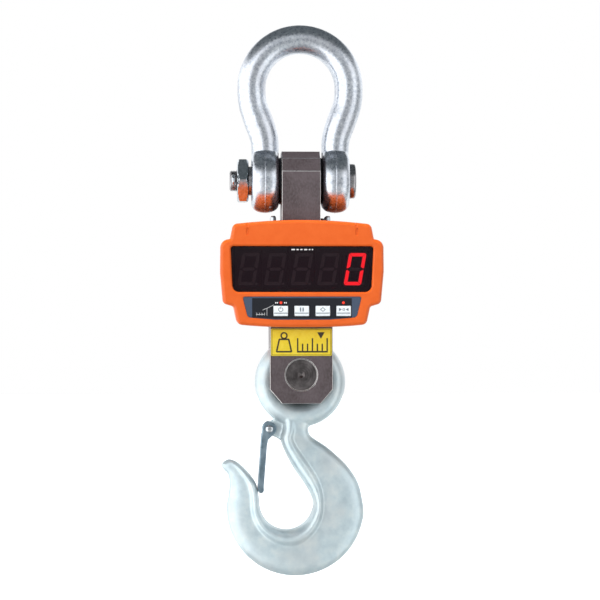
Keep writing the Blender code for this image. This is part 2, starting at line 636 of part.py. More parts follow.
def make_gasket(name, side):
    """Half of the cord that seals the parting plane, from the top opening round to the bottom opening."""
    outline = case_outline()
    half = 0.9
    ring = prism(name, inset(outline, 0.7), -half, half)
    top, bottom, away = TOP_OPENING + 2, BOTTOM_OPENING + 2, 110
    cut(ring, prism(f"{name}_inside", inset(outline, 3.3), -half - 1, half + 1),
        box(f"{name}_top_gap", (min(-side * away, side * top), -5, -265), (max(-side * away, side * top), 5, -190)),
        box(f"{name}_low_gap", (min(-side * away, side * bottom), -5, -340),
            (max(-side * away, side * bottom), 5, -264)))
    return finish(ring, "black_rubber")


def make_case_screw(name, x, z):
    head, shank = 4.5, 2.4
    profile = [(0, 57.8), (1.8, 59.4), (head - 0.8, 59.4), (head, 58.6), (head, 54.8), (shank, 54.8),
               (shank, -17), (0, -18)]
    return finish(turned(name, profile, (x, 0, z), (0, 1, 0), steps=16), "zinc_plated_steel")


def make_seal(name, half_x, z_low, z_high, wall_x, wall_y):
    """A rubber frame between the casing's opening and the bar."""
    outer = box(name, (-half_x, -OPENING_Y + GAP, z_low), (half_x, OPENING_Y - GAP, z_high))
    cut(outer, box(f"{name}_inside", (-half_x + wall_x, -OPENING_Y + GAP + wall_y, z_low - 2),
                   (half_x - wall_x, OPENING_Y - GAP - wall_y, z_high + 2)))
    return finish(outer, "black_rubber")


def make_bracket(name, side):
    """A folded angle that carries the casing on the bar."""
    outline = [(23.1, -230.0), (26.1, -230.0), (26.1, -210.6), (40.0, -210.6), (40.0, -207.6), (23.1, -207.6)]
    bracket = prism(name, [(side * x, z) for x, z in outline], -18, 18)
    for y in (-12, 12):
        cut(bracket, rod(f"{name}_hole_{y}", 2.4, (side * 32.5, y, -214), (side * 32.5, y, -204), 12))
    return finish(bracket, "zinc_plated_steel")


def make_bracket_screw(name, x, y):
    head, shank, top = 3.4, 2.0, -195.3
    profile = [(0, top), (head - 0.8, top), (head, top - 0.8), (head, -202.2), (shank, -202.2), (shank, -213.5),
               (0, -214.2)]
    return finish(turned(name, profile, (x, y, 0), (0, 0, 1), steps=16), "zinc_plated_steel")


def make_charge_parts():
    """The charging socket in the casing's top, and the rubber cap that pulls out of it."""
    bore = 3.3
    socket = [(6.0, -200.9), (6.0, -202.0), (4.9, -202.0), (4.9, -216.0), (bore, -216.0), (bore, -200.9)]
    cap = [(0, -195.5), (3.6, -195.5), (4.4, -196.3), (4.4, -200.6), (bore - GAP, -200.6), (bore - GAP, -207),
           (bore - 0.8, -208), (0, -208)]
    at = (CHARGE_X, CHARGE_Y, 0)
    return (finish(turned("charge_socket", socket, at, (0, 0, 1), steps=20, ring=True), "black_plastic"),
            finish(turned("charge_cap", cap, at, (0, 0, 1), steps=20), "black_rubber"))


def make_casing():
    pieces = [make_front_shell(), make_rear_shell(), make_gasket("case_gasket_left", -1),
              make_gasket("case_gasket_right", 1), make_seal("top_seal", 26.1, -207.2, -201.6, 3.0, 3.1),
              make_seal("bottom_seal", 40.3, -329.0, -322.0, 3.0, 3.1), make_bracket("mount_bracket_left", -1),
              make_bracket("mount_bracket_right", 1)]
    pieces += [make_case_screw(f"case_screw_{where}", x, z) for where, (x, z) in CASE_SCREWS.items()]
    pieces += [make_bracket_screw(f"bracket_screw_{where}", x, y) for where, (x, y) in BRACKET_SCREWS.items()]
    return pieces


# ---- Display, keys and electrics ----------------------------------------------------------------------------

def key_block(name, x, margin, near, far):
    return box(name, (x - KEY_HALF_X - margin, near, KEY_Z - KEY_HALF_Z - margin),
               (x + KEY_HALF_X + margin, far, KEY_Z + KEY_HALF_Z + margin))


def make_key(name, x):
    """A key with a flange behind the casing's wall, which keeps it in."""
    key = key_block(name, x, 0, -60.9, -54.9)
    join(key, key_block(f"{name}_flange", x, 2.0, -55.7, -54.8))
    return finish(key, "key_white")


def make_window():
    return finish(prism("display_window", inset(rounded(WINDOW), -3.6), -55.6, -52.6), "dark_window")


def make_digit(number):
    x = (number - 3) * DIGIT_PITCH
    digit = box(f"led_digit_{number}", (x - DIGIT_HALF_X, -52.2, DIGIT_Z - DIGIT_HALF_Z),
                (x + DIGIT_HALF_X, -44.2, DIGIT_Z + DIGIT_HALF_Z))
    return finish(digit, "digit_module")


def make_overlay():
    """The film in the keypad's recess, with a hole for each key and lamp."""
    overlay = prism("keypad_overlay", inset(rounded(KEYPAD), GAP), -CASE_FRONT + 0.1, -CASE_FRONT + 0.9)
    for name, x in KEYS.items():
        cut(overlay, key_block(f"{name}_window", x, 0.35, -62, -52))
    for name, x in LAMPS.items():
        cut(overlay, across(f"{name}_window", LAMP_RADIUS + 0.3, LAMP_Z, -62, -52, x, 12))
    return finish(overlay, "keypad_film")


def make_keypad_board():
    board = box("keypad_board", (-40, -50, -318), (62, -48.4, -298))
    for name, x in KEYS.items():
        join(board, box(f"{name}_switch", (x - 3, -53.8, KEY_Z - 3), (x + 3, -49.5, KEY_Z + 3)))
    return finish(board, "circuit_board")


def make_lamp(name, x):
    return finish(across(name, LAMP_RADIUS, LAMP_Z, -60.3, -50.4, x, 12), "lamp_red")


def make_battery_parts():
    left, right, low, high = BATTERY_RECESS
    battery = finish(box("battery", (-72, -5, -288), (-34, 53, -232)), "battery_wrap")
    cover = box("battery_cover", (left + GAP, 57.6, low + GAP), (right - GAP, 59.8, high - GAP))
    pieces = [battery, finish(cover, "orange_coat")]
    for where, (x, z) in COVER_SCREWS.items():
        cut(cover, across(f"cover_hole_{where}", 1.9, z, 55, 62, x, 12),
            across(f"cover_step_{where}", 3.3, z, 58.6, 62, x, 16))
        profile = [(0, 59.7), (2.9, 59.7), (2.9, 58.9), (1.6, 58.9), (1.6, 51), (0, 51)]
        screw = turned(f"battery_cover_screw_{where}", profile, (x, 0, z), (0, 1, 0), steps=14)
        pieces.append(finish(screw, "zinc_plated_steel"))
    return pieces


def make_signal_cable():
    """The gauge wires' sleeve, from the bar's side to the main board."""
    route = [(23.2, 0, GAUGE_Z), (30, 0, GAUGE_Z), (40, 2, -252), (46, 7, -256), (48, 13, -260), (48, 18.7, -261)]
    return finish(tube("signal_cable", smooth(route, 3), 2.2), "black_rubber")


def make_electrics():
    main_board = finish(box("main_board", (27, 19.2, -296), (76, 20.8, -226)), "circuit_board")
    display_board = finish(box("display_board", (-80, -43.8, -288), (80, -42.2, -231)), "circuit_board")
    digits = [make_digit(number) for number in range(1, 6)]
    lamps = [make_lamp(name, x) for name, x in LAMPS.items()]
    return [make_window(), *digits, display_board, make_overlay(), make_keypad_board(), *lamps,
            *make_battery_parts(), main_board, make_signal_cable()]


def build():
    make_shackle()
    socket, cap = make_charge_parts()
    keys = [make_key(name, x) for name, x in KEYS.items()]
    scale_pivot = pivot("scale_pivot", 0, BOLT_Z)
    hook_pivot = pivot("hook_pivot", 0, PIN_Z, scale_pivot)
    latch_pivot = pivot("latch_pivot", LATCH_X, LATCH_Z, hook_pivot)
    latch_pivot.location = Vector((LATCH_X, 0, LATCH_Z - PIN_Z)) * MM
    hang_on(scale_pivot, [*make_load_path(), *make_casing(), *make_electrics(), socket, cap, *keys])
    hang_on(hook_pivot, [make_hook(), make_latch_pin()])
    hang_on(latch_pivot, [make_latch(), make_latch_spring()])


build()
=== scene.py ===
"""A crane scale in a studio: bow shackle, load cell bar, orange display casing and latched eye hook.

Lengths are in millimetres and become metres when a mesh is made. X runs to the right, -Y towards the reader of
the display and Z up, as in the frame. Every shape is a grid of points worked out with numpy.
"""

import json
import math

import bmesh
import bpy
import numpy as np
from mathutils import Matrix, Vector
from mathutils.geometry import delaunay_2d_cdt

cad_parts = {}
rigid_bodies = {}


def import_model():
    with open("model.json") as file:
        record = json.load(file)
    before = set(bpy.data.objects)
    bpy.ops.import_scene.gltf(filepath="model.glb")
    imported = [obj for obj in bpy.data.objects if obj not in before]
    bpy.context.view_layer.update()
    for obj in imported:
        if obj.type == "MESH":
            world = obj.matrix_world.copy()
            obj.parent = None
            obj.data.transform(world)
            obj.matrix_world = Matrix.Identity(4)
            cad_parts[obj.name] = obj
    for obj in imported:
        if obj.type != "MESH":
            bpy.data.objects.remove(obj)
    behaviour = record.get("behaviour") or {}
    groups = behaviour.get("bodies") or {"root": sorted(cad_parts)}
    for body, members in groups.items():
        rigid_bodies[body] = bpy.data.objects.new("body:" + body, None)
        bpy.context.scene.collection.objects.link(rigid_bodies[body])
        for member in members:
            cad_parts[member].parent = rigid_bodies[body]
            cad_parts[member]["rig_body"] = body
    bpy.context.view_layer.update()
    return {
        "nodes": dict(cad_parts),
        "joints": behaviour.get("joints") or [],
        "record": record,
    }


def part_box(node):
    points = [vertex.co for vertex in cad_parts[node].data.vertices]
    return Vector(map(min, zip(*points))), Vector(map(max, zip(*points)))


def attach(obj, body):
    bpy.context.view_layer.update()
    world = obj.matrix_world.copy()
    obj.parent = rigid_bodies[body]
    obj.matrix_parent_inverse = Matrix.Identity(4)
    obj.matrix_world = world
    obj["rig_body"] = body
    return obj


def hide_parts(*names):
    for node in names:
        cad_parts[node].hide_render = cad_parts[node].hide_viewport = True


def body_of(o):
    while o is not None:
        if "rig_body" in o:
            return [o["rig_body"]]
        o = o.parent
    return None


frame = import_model()

SLOTS = {part["node"]: part["material_slot"] for part in frame["record"]["subparts"]}
MM = 0.001
MERGE = 0.000004  # points nearer than this, in metres, are one point
TURN = 2 * np.pi


def full_turn(columns):
    """The angles of a whole turn in even steps."""
    return np.linspace(0, TURN, columns, endpoint=False)


def cad(node):
    """The lowest and highest corner of a CAD node, in millimetres."""
    low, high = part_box(node)
    return np.array(low) / MM, np.array(high) / MM


def middle(node):
    """The middle of a CAD node's box."""
    low, high = cad(node)
    return (low + high) / 2


def half_size(node):
    """Half the size of a CAD node's box."""
    low, high = cad(node)
    return (high - low) / 2


# ---- Shapes: a part is (points, faces) or (points, faces, number of its material)

def skin(grid, around=True, along=False, ends=True):
    """The surface over a grid of points [row, column]: a quad between each four neighbours.

    Columns join round, rows join too where along is set, and an end row is drawn to its mean point.
    """
    rows, columns = grid.shape[:2]
    spots = np.arange(rows * columns).reshape(rows, columns)
    if around:
        spots = np.hstack([spots, spots[:, :1]])
    if along:
        spots = np.vstack([spots, spots[:1]])
    quads = np.stack([spots[:-1, :-1], spots[:-1, 1:], spots[1:, 1:], spots[1:, :-1]], axis=-1).reshape(-1, 4)
    points, faces = grid.reshape(-1, 3), quads.tolist()
    for row in (0, -1) if ends and not along else ():
        ring = spots[row]
        tip = np.full(len(ring) - 1, len(points))
        points = np.vstack([points, grid[row].mean(axis=0)])
        faces += np.stack([ring[:-1], ring[1:], tip], axis=1).tolist()
    return points, faces


def upright(outline, y):
    """An outline of (x, z) points as a loop at one depth."""
    return np.stack([outline[:, 0], np.full(len(outline), float(y)), outline[:, 1]], axis=1)


def inside(spots, loop):
    """True for each spot inside a loop: a ray to its left crosses the loop's edges an odd number of times."""
    (x, z), a, b = spots.T[:, :, None], loop.T, np.roll(loop, -1, axis=0).T
    spans = (a[1] > z) != (b[1] > z)
    rise = np.where(b[1] == a[1], 1.0, b[1] - a[1])
    crossing = a[0] + (z - a[1]) * (b[0] - a[0]) / rise
    return (spans & (crossing < x)).sum(axis=1) % 2 == 1


def flat(loops, y):
    """The flat face at one depth inside the first loop and outside the rest: the Delaunay triangles whose
    middles lie there."""
    points = np.vstack(loops)
    edges, start = [], 0
    for loop in loops:
        count = np.arange(len(loop))
        edges += np.stack([start + count, start + (count + 1) % len(loop)], axis=1).tolist()
        start += len(loop)
    spots, _, faces, *_ = delaunay_2d_cdt([Vector(point) for point in points], edges, [], 1, 1e-5)
    spots, faces = np.array(spots), np.array(faces)
    centres = spots[faces].mean(axis=1)
    kept = inside(centres, loops[0])
    for hole in loops[1:]:
        kept &= ~inside(centres, hole)
    return upright(spots, y), faces[kept].tolist()


def plate(outline, rows, holes=()):
    """A plate whose edge runs through (inset, y) rows of one outline, with straight holes through it."""
    edge = np.stack([upright(inset(outline, by), y) for by, y in rows])
    near, far = rows[0], rows[-1]
    walls = [skin(np.stack([upright(hole, near[1]), upright(hole, far[1])]), ends=False) for hole in holes]
    return [skin(edge, ends=False), *walls, flat([inset(outline, near[0]), *holes], near[1]),
        flat([inset(outline, far[0]), *holes], far[1])]


def eased(outline, near, far, ease, steps=3, holes=()):
    """A plate between two depths whose edges are rounded by a small radius."""
    turns = np.linspace(0, np.pi / 2, steps + 1)
    direction = np.sign(far - near)
    first = [(ease * (1 - math.sin(turn)), near + direction * ease * (1 - math.cos(turn))) for turn in turns]
    last = [(by, far - (y - near)) for by, y in reversed(first)]
    return plate(outline, first + last, holes)


def inset(outline, distance):
    """The outline moved inwards by a distance, or outwards by a negative one: each point slides on its mitre."""
    if not distance:
        return outline
    edges = np.roll(outline, -1, axis=0) - outline
    edges /= np.linalg.norm(edges, axis=1, keepdims=True)
    ahead = np.roll(outline, -1, axis=0)
    area = np.sum(outline[:, 0] * ahead[:, 1] - ahead[:, 0] * outline[:, 1])
    inward = np.stack([-edges[:, 1], edges[:, 0]], axis=1) * np.sign(area)
    earlier = np.roll(inward, 1, axis=0)
    mitre = (inward + earlier) / (1 + np.sum(inward * earlier, axis=1, keepdims=True))
    return outline + mitre * distance


def rounded(corners, step=6):
    """A closed outline through (a, b, radius) corners, each rounded by an arc in steps of a few degrees."""
    outline = []
    for i, (a, b, radius) in enumerate(corners):
        here = np.array([a, b], float)
        if radius == 0:
            outline.append(here)
            continue
        before = np.array(corners[i - 1][:2]) - here
        after = np.array(corners[(i + 1) % len(corners)][:2]) - here
        before, after = before / np.linalg.norm(before), after / np.linalg.norm(after)
        half = math.acos(before @ after) / 2
        bisector = (before + after) / np.linalg.norm(before + after)
        centre = here + bisector * radius / math.sin(half)
        start = here + before * radius / math.tan(half) - centre
        sweep = (math.pi - 2 * half) * (1 if before[0] * after[1] - before[1] * after[0] < 0 else -1)
        turns = np.linspace(0, sweep, 2 + round(abs(sweep) / math.radians(step)))
        outline += list(centre + np.stack([start[0] * np.cos(turns) - start[1] * np.sin(turns),
            start[0] * np.sin(turns) + start[1] * np.cos(turns)], axis=1))
    return np.array(outline)


def oblong(x, z, half_x, half_z, radius, step=10):
    """A rectangle with rounded corners about a centre."""
    return rounded([(x + half_x, z + half_z, radius), (x + half_x, z - half_z, radius), (x - half_x, z - half_z,
        radius), (x - half_x, z + half_z, radius)], step)


def ring_of(x, z, radius, columns=48):
    """A circle's outline."""
    turns = full_turn(columns)
    return np.stack([x + radius * np.cos(turns), z + radius * np.sin(turns)], axis=1)


def arc(x, z, radius, start, end, steps):
    """Points along a circle from one angle to another, in degrees."""
    turns = np.radians(np.linspace(start, end, steps))
    return np.stack([x + radius * np.cos(turns), z + radius * np.sin(turns)], axis=1)


def lathe(rows, centre, axis, columns=72, along=False, ends=True):
    """Rows of (radius, height) turned about an axis through a centre; a radius may differ for each angle."""
    turns = full_turn(columns)
    radii = np.stack([np.broadcast_to(radius, turns.shape) for radius, _ in rows])
    heights = np.broadcast_to(np.array([height for _, height in rows], float)[:, None], radii.shape)
    across = [radii * np.cos(turns), radii * np.sin(turns)]
    order = {"X": (heights, *across), "Y": (across[0], heights, across[1]), "Z": (*across, heights)}[axis]
    return skin(np.stack(order, axis=-1) + np.array(centre, float), along=along, ends=ends)


def hexagon(flats, columns=72, corner=0.0):
    """The radius of a hexagon at each angle, for its size across flats: half that size over the cosine."""
    turns = np.degrees(full_turn(columns)) - corner
    return flats / 2 / np.cos(np.radians(turns % 60 - 30))


def cross(reach, slot, columns=72):
    """The radius of a cross recess at each angle: arms of a width and a reach, met by a small round middle."""
    turns = full_turn(columns)
    off_arm = np.abs(np.sin(2 * turns)) / 2
    return np.clip(slot / 2 / np.maximum(off_arm, 1e-4), slot * 0.62, reach)


def sweep(path, radius, binormal, columns=16, along=False):
    """A round wire along a path: circles across the tangent, which keep one side in a fixed plane."""
    path = np.array(path, float)
    tangent = np.roll(path, -1, 0) - np.roll(path, 1, 0) if along else np.gradient(path, axis=0)
    tangent /= np.linalg.norm(tangent, axis=1, keepdims=True)
    side = np.cross(tangent, np.array(binormal, float))
    side /= np.linalg.norm(side, axis=1, keepdims=True)
    up = np.cross(side, tangent)
    turns = full_turn(columns)
    radius = np.broadcast_to(radius, len(path))[:, None, None]
    circle = side[:, None] * np.cos(turns)[None, :, None] + up[:, None] * np.sin(turns)[None, :, None]
    return skin(path[:, None] + radius * circle, along=along)


def smooth(stations, between):
    """Rows of numbers joined by Catmull-Rom splines, with steps between each pair of stations."""
    rows = np.array(stations, float)
    rows = np.vstack([2 * rows[0] - rows[1], rows, 2 * rows[-1] - rows[-2]])
    t = np.arange(between)[:, None] / between
    spans = [0.5 * (2 * b + (c - a) * t + (2 * a - 5 * b + 4 * c - d) * t**2 + (3 * b - a - 3 * c + d) * t**3)
        for a, b, c, d in zip(rows, rows[1:], rows[2:], rows[3:])]
    return np.vstack([*spans, rows[-2]])


def stroke(points, width):
    """The outline of a line of a width through points, with square ends."""
    points = np.array(points, float)
    tangent = np.gradient(points, axis=0)
    tangent /= np.linalg.norm(tangent, axis=1, keepdims=True)
    side = np.stack([-tangent[:, 1], tangent[:, 0]], axis=1) * width / 2
    return np.vstack([points + side, (points - side)[::-1]])


def painted(parts, number):
    """Parts with the number of their material."""
    return [(points, faces, number) for points, faces, *_ in parts]


def print_on(y, *loops, number=1, height=0.05):
    """A film of ink of one outline, with any holes, standing a little in front of a face towards -Y."""
    return painted(plate(loops[0], [(0, y + 0.05), (0, y - height)], loops[1:]), number)


# ---- Pieces

def mesh_of(name, parts):
    """One mesh of parts: their meeting points are merged, and then their faces turned outwards."""
    points, faces, paint, start = [], [], [], 0
    for spots, polygons, *number in parts:
        points.append(spots)
        faces += [[spot + start for spot in polygon] for polygon in polygons]
        paint += [number[0] if number else 0] * len(polygons)
        start += len(spots)
    mesh = bpy.data.meshes.new(name)
    mesh.from_pydata(np.vstack(points) * MM, [], faces)
    mesh.polygons.foreach_set("material_index", paint)
    return tidied(mesh)


def tidied(mesh, planar=False):
    """The mesh with doubles merged, flat areas made whole again where planar is set, and faces outwards."""
    shape = bmesh.new()
    shape.from_mesh(mesh)
    bmesh.ops.remove_doubles(shape, verts=shape.verts, dist=MERGE)
    if planar:
        bmesh.ops.dissolve_limit(shape, angle_limit=math.radians(0.5), verts=shape.verts, edges=shape.edges)
    bmesh.ops.recalc_face_normals(shape, faces=shape.faces)
    shape.to_mesh(mesh)
    shape.free()
    return mesh


def piece(name, mesh, finishes, node, crease=35):
    """A mesh as a piece with its finishes. It stands for a CAD node: it takes that node's body, and the node is
    hidden.
    """
    if not isinstance(mesh, bpy.types.Mesh):
        mesh = mesh_of(name, mesh)
    for material in np.atleast_1d(finishes):
        mesh.materials.append(material)
    mesh.shade_smooth()
    mesh.set_sharp_from_angle(angle=math.radians(crease))
    obj = bpy.data.objects.new(name, mesh)
    bpy.context.scene.collection.objects.link(obj)
    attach(obj, body_of(frame["nodes"][node])[0])
    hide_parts(node)
    return obj


def welded(node):
    """A merged copy of a CAD node's mesh, with its flat faces whole again."""
    mesh = frame["nodes"][node].data.copy()
    mesh.materials.clear()
    return tidied(mesh, planar=True)


def fused(name, parts, voxel, rounds):
    """Overlapping closed parts as one closed part: a voxel remesh, then rounds of half a Laplacian, which
    fillet it. A round moves each point half way to the mean of its neighbours."""
    mesh = mesh_of(name + "_parts", parts)
    helper = bpy.data.objects.new(name + "_parts", mesh)
    bpy.context.scene.collection.objects.link(helper)
    remesh = helper.modifiers.new("fuse", "REMESH")
    remesh.mode, remesh.voxel_size = "VOXEL", voxel * MM
    graph = bpy.context.evaluated_depsgraph_get()
    made = bpy.data.meshes.new_from_object(helper.evaluated_get(graph))
    bpy.data.objects.remove(helper)
    points = np.empty(len(made.vertices) * 3, np.float32)
    made.vertices.foreach_get("co", points)
    points = points.reshape(-1, 3).astype(float)
    ends = np.empty(len(made.edges) * 2, np.int32)
    made.edges.foreach_get("vertices", ends)
    first, second = ends.reshape(-1, 2).T
    count = np.bincount(ends, minlength=len(points))[:, None]
    for _ in range(rounds):
        total = np.stack([np.bincount(first, points[second, axis], len(points)) + np.bincount(second, points[first,
            axis], len(points)) for axis in range(3)], axis=1)
        points += 0.5 * (total / count - points)
    corners = np.empty(len(made.loops), np.int32)
    made.loops.foreach_get("vertex_index", corners)
    bpy.data.meshes.remove(made)
    return points / MM, corners.reshape(-1, 4).tolist()


# ---- Finishes

def linear(code, alpha=1.0):
    """An sRGB hex colour as linear red, green, blue and alpha."""
    share = np.array([int(code[i:i + 2], 16) for i in (0, 2, 4)]) / 255
    value = np.where(share <= 0.04045, share / 12.92, ((share + 0.055) / 1.055)**2.4)
    return (*value.tolist(), alpha)


def add(tree, kind, inputs=None, **settings):
    """Adds a node with its settings; an input is a value, or the output of another node to link from."""
    node = tree.nodes.new(kind)
    for name, value in settings.items():
        setattr(node, name, value)
    for name, value in (inputs or {}).items():
        if isinstance(value, bpy.types.NodeSocket):
            tree.links.new(value, node.inputs[name])
        else:
            node.inputs[name].default_value = value
    return node


def finish(name, shades, metallic, roughness, grain, *, bump=0.0, depth=0.1, stretch=(1, 1, 1), vary=0.06,
        fine=None, cloud=None, contrast=(0.35, 0.65), **fixed):
    """A procedural finish on a Principled shader.

    shades are hex colours that a noise of the grain size (mm) moves between. The same noise varies the
    roughness by vary, and a noise of the fine size gives the bump. cloud adds a second, wider drift of
    colour: (size in mm, hex colour, how much). stretch draws the grain out along an axis.
    """
    material = bpy.data.materials.new(name)
    material.use_nodes = True
    tree = material.node_tree
    shader = tree.nodes["Principled BSDF"]
    for socket, value in {"Metallic": metallic, "Roughness": roughness, **fixed}.items():
        shader.inputs[socket.replace("_", " ")].default_value = value
    place = add(tree, "ShaderNodeTexCoord").outputs["Object"]
    drawn = add(tree, "ShaderNodeMapping", {"Vector": place, "Scale": stretch}).outputs["Vector"]
    noise = add(tree, "ShaderNodeTexNoise", {"Vector": drawn, "Scale": 1 / (grain * MM), "Detail": 4.0,
        "Roughness": 0.6})
    ramp = add(tree, "ShaderNodeValToRGB", {"Fac": noise.outputs["Fac"]})
    stops = ramp.color_ramp.elements
    for _ in shades[2:]:
        stops.new(0.5)
    for stop, position, shade in zip(stops, np.linspace(*contrast, len(shades)), shades):
        stop.position, stop.color = position, linear(shade)
    colour = ramp.outputs["Color"]
    if cloud:
        size, shade, amount = cloud
        drift = add(tree, "ShaderNodeTexNoise", {"Vector": place, "Scale": 1 / (size * MM), "Detail": 2.0})
        much = add(tree, "ShaderNodeMapRange", {"Value": drift.outputs["Fac"], "From Min": 0.4, "From Max": 0.68,
            "To Max": amount}, interpolation_type="SMOOTHSTEP")
        colour = add(tree, "ShaderNodeMix", {"Factor": much.outputs["Result"], 6: colour, 7: linear(shade)},
            data_type="RGBA").outputs[2]
    tree.links.new(colour, shader.inputs["Base Color"])
    if vary:
        rough = add(tree, "ShaderNodeMapRange", {"Value": noise.outputs["Fac"], "From Min": 0.3, "From Max": 0.7,
            "To Min": roughness - vary, "To Max": roughness + vary})
        tree.links.new(rough.outputs["Result"], shader.inputs["Roughness"])
    if bump:
        texture = add(tree, "ShaderNodeTexNoise", {"Vector": drawn, "Scale": 1 / ((fine or grain) * MM),
            "Detail": 3.0, "Roughness": 0.55})
        relief = add(tree, "ShaderNodeBump", {"Height": texture.outputs["Fac"], "Strength": bump,
            "Distance": depth * MM})
        tree.links.new(relief.outputs["Normal"], shader.inputs["Normal"])
    return material


# Hot dip galvanised forged steel: bright, with a spangle of a few millimetres and a lightly orange-peeled skin.
galvanised = finish("galvanised_forged_steel", ["B4BAC4", "C8CDD5", "DCE0E6"], 1.0, 0.3, 3.2, bump=0.2, depth=0.16,
    vary=0.05, fine=2.1, cloud=(26, "B4B2B8", 0.3))
# Electro zinc plated steel, turned: smoother than the forging.
zinc_plated = finish("zinc_plated_steel", ["AEB4BA", "CCD0D4"], 1.0, 0.2, 3.0, bump=0.15, depth=0.04, fine=1.6)
# Self-coloured alloy steel of the bolt: turned, oiled, darker than the plating.
turned_steel = finish("oiled_turned_steel", ["8E8C8E", "A6A4A6"], 1.0, 0.26, 2.4, bump=0.2, depth=0.04, fine=1.2)
# Oxide blackened washers, with a dull skin.
blackened = finish("blackened_steel", ["15161A", "24262A"], 0.6, 0.5, 1.4, bump=0.3, depth=0.05)
# Milled alloy steel bar under oil: warm grey, very faintly drawn out along its length, with a fine mottle.
milled = finish("milled_alloy_steel", ["584D4F", "605658", "6A6063"], 0.6, 0.36, 2.0, bump=0.2, depth=0.04,
    stretch=(1, 1, 0.6), fine=1.3, vary=0.04, cloud=(34, "786C70", 0.45))
# The same steel where a wheel broke the edges: bare ground metal, painted near white as a highlight line.
edge_highlight = finish("ground_edge_painted_highlight", ["D9D4D2", "F2EFEE"], 1.0, 0.3, 1.5, vary=0.04)
# Ground and oiled pin: darker, blotched by handling.
oiled_pin = finish("oiled_pin_steel", ["4A4545", "5E5959", "777171"], 0.9, 0.34, 11.0, bump=0.2, depth=0.05,
    fine=1.6, contrast=(0.3, 0.7))
# Zinc plated drop forging, shot blasted before plating: pale blue-white satin with rainbow-faint clouds.
satin_zinc = finish("satin_zinc_forging", ["B8C9D0", "C8D7DC", "D8E2E3"], 0.5, 0.38, 16.0, bump=0.3, depth=0.12,
    vary=0.04, fine=2.4, cloud=(42, "C8CBCC", 0.4), contrast=(0.3, 0.7))
# Blued spring steel sheet of the latch.
blued = finish("blued_sheet_steel", ["70848F", "8093A0", "90A2AE"], 0.9, 0.32, 9.0, bump=0.12, depth=0.04,
    fine=1.4)
# Polyester powder coat: even orange with the fine peel of a baked coat.
powder_coat = finish("orange_powder_coat", ["DC5D1B", "E06220"], 0.0, 0.36, 9.0, bump=0.18, depth=0.04, vary=0.03,
    fine=1.3, Specular_IOR_Level=0.35)
# Moulded rubber of the seals and the cap: dull black.
rubber = finish("moulded_black_rubber", ["131314", "1F1F20"], 0.0, 0.72, 1.2, bump=0.3, depth=0.05)
# Smoked acrylic window: nearly black, polished, with the digits showing through.
smoked = finish("smoked_acrylic", ["1A0A13", "1D0C15"], 0.0, 0.06, 30.0, vary=0.0, Alpha=0.62,
    Specular_IOR_Level=0.25)
# Screen printed inks: matt, and slightly uneven.
white_ink, grey_ink, dark_ink = (finish(name, shades, 0.0, 0.5, 1.0) for name, shades in (("white_screen_print",
    ["D8D8DA", "F2F2F2"]), ("grey_screen_print", ["5E666E", "737A82"]), ("dark_brown_print", ["2A2312",
    "3A3018"])))
# Digit modules: near black moulded ABS, with segments of cast epoxy that show grey unlit and glow red lit.
module_face = finish("moulded_grey_abs", ["151215", "1B171A"], 0.0, 0.6, 1.5, bump=0.2, depth=0.03)
unlit = finish("unlit_segment_epoxy", ["A08C90", "AE9A9E"], 0.0, 0.45, 2.0)
lit = finish("lit_segment_epoxy", ["FF2A30", "FF1E28"], 0.0, 0.4, 2.0, Emission_Color=linear("FF1C26"),
    Emission_Strength=6.5)
# Textured polyester film of the keypad: satin, charcoal or steel blue.
film_dark, film_blue = (
    finish(name, shades, 0.0, 0.42, 1.2, bump=0.2, depth=0.02, Specular_IOR_Level=0.3) for name, shades in (
        ("charcoal_polyester_film", ["14161D", "1A1C23"]), ("steel_blue_polyester_film", ["3E4A5E", "485468"])))
# Moulded silicone keys: soft white.
key_cap = finish("white_silicone_key", ["DDE3E8", "EDF1F4"], 0.0, 0.45, 2.0, bump=0.15, depth=0.03)
# Cast epoxy indicator lamps: small glossy red domes with a weak glow.
lamp_on = finish("red_lamp_epoxy", ["E8402A", "F04A30"], 0.0, 0.25, 1.0, Emission_Color=linear("FF2A1A"),
    Emission_Strength=0.55)
# Printed vinyl label: even yellow with a soft sheen.
vinyl = finish("yellow_vinyl_label", ["E4C922", "EBD338"], 0.0, 0.38, 6.0, bump=0.15, depth=0.03, vary=0.03)
# Solder mask of the circuit boards, shrink wrap of the battery and moulded ABS of the socket.
board = finish("green_solder_mask", ["0F4A28", "17603A"], 0.0, 0.4, 3.0, bump=0.3, depth=0.1)
wrap = finish("blue_shrink_wrap", ["16305E", "1E3C74"], 0.0, 0.35, 5.0, bump=0.2, depth=0.1)
black_abs = finish("moulded_black_abs", ["161617", "202022"], 0.0, 0.5, 1.0, bump=0.25, depth=0.03)
# The finish of each CAD material slot.
SLOT_FINISH = {"galvanised_steel": galvanised, "zinc_plated_steel": zinc_plated, "hook_zinc": satin_zinc,
    "dark_steel": blackened, "brushed_steel": milled, "orange_coat": powder_coat, "black_rubber": rubber,
    "dark_window": smoked, "digit_module": module_face, "keypad_film": film_dark, "key_white": key_cap,
    "lamp_red": lamp_on, "yellow_label": vinyl, "circuit_board": board, "battery_wrap": wrap,
    "black_plastic": black_abs}


# ---- Shackle

BOLT_Z = middle("spacer_washer_left")[2]
EAR_X, EAR_HALF, EAR_RADIUS, EAR_CROWN = 42.0, 16.5, 38.0, 11.0
BOW_RADIUS, BOW_Z = 58.3, -41.5


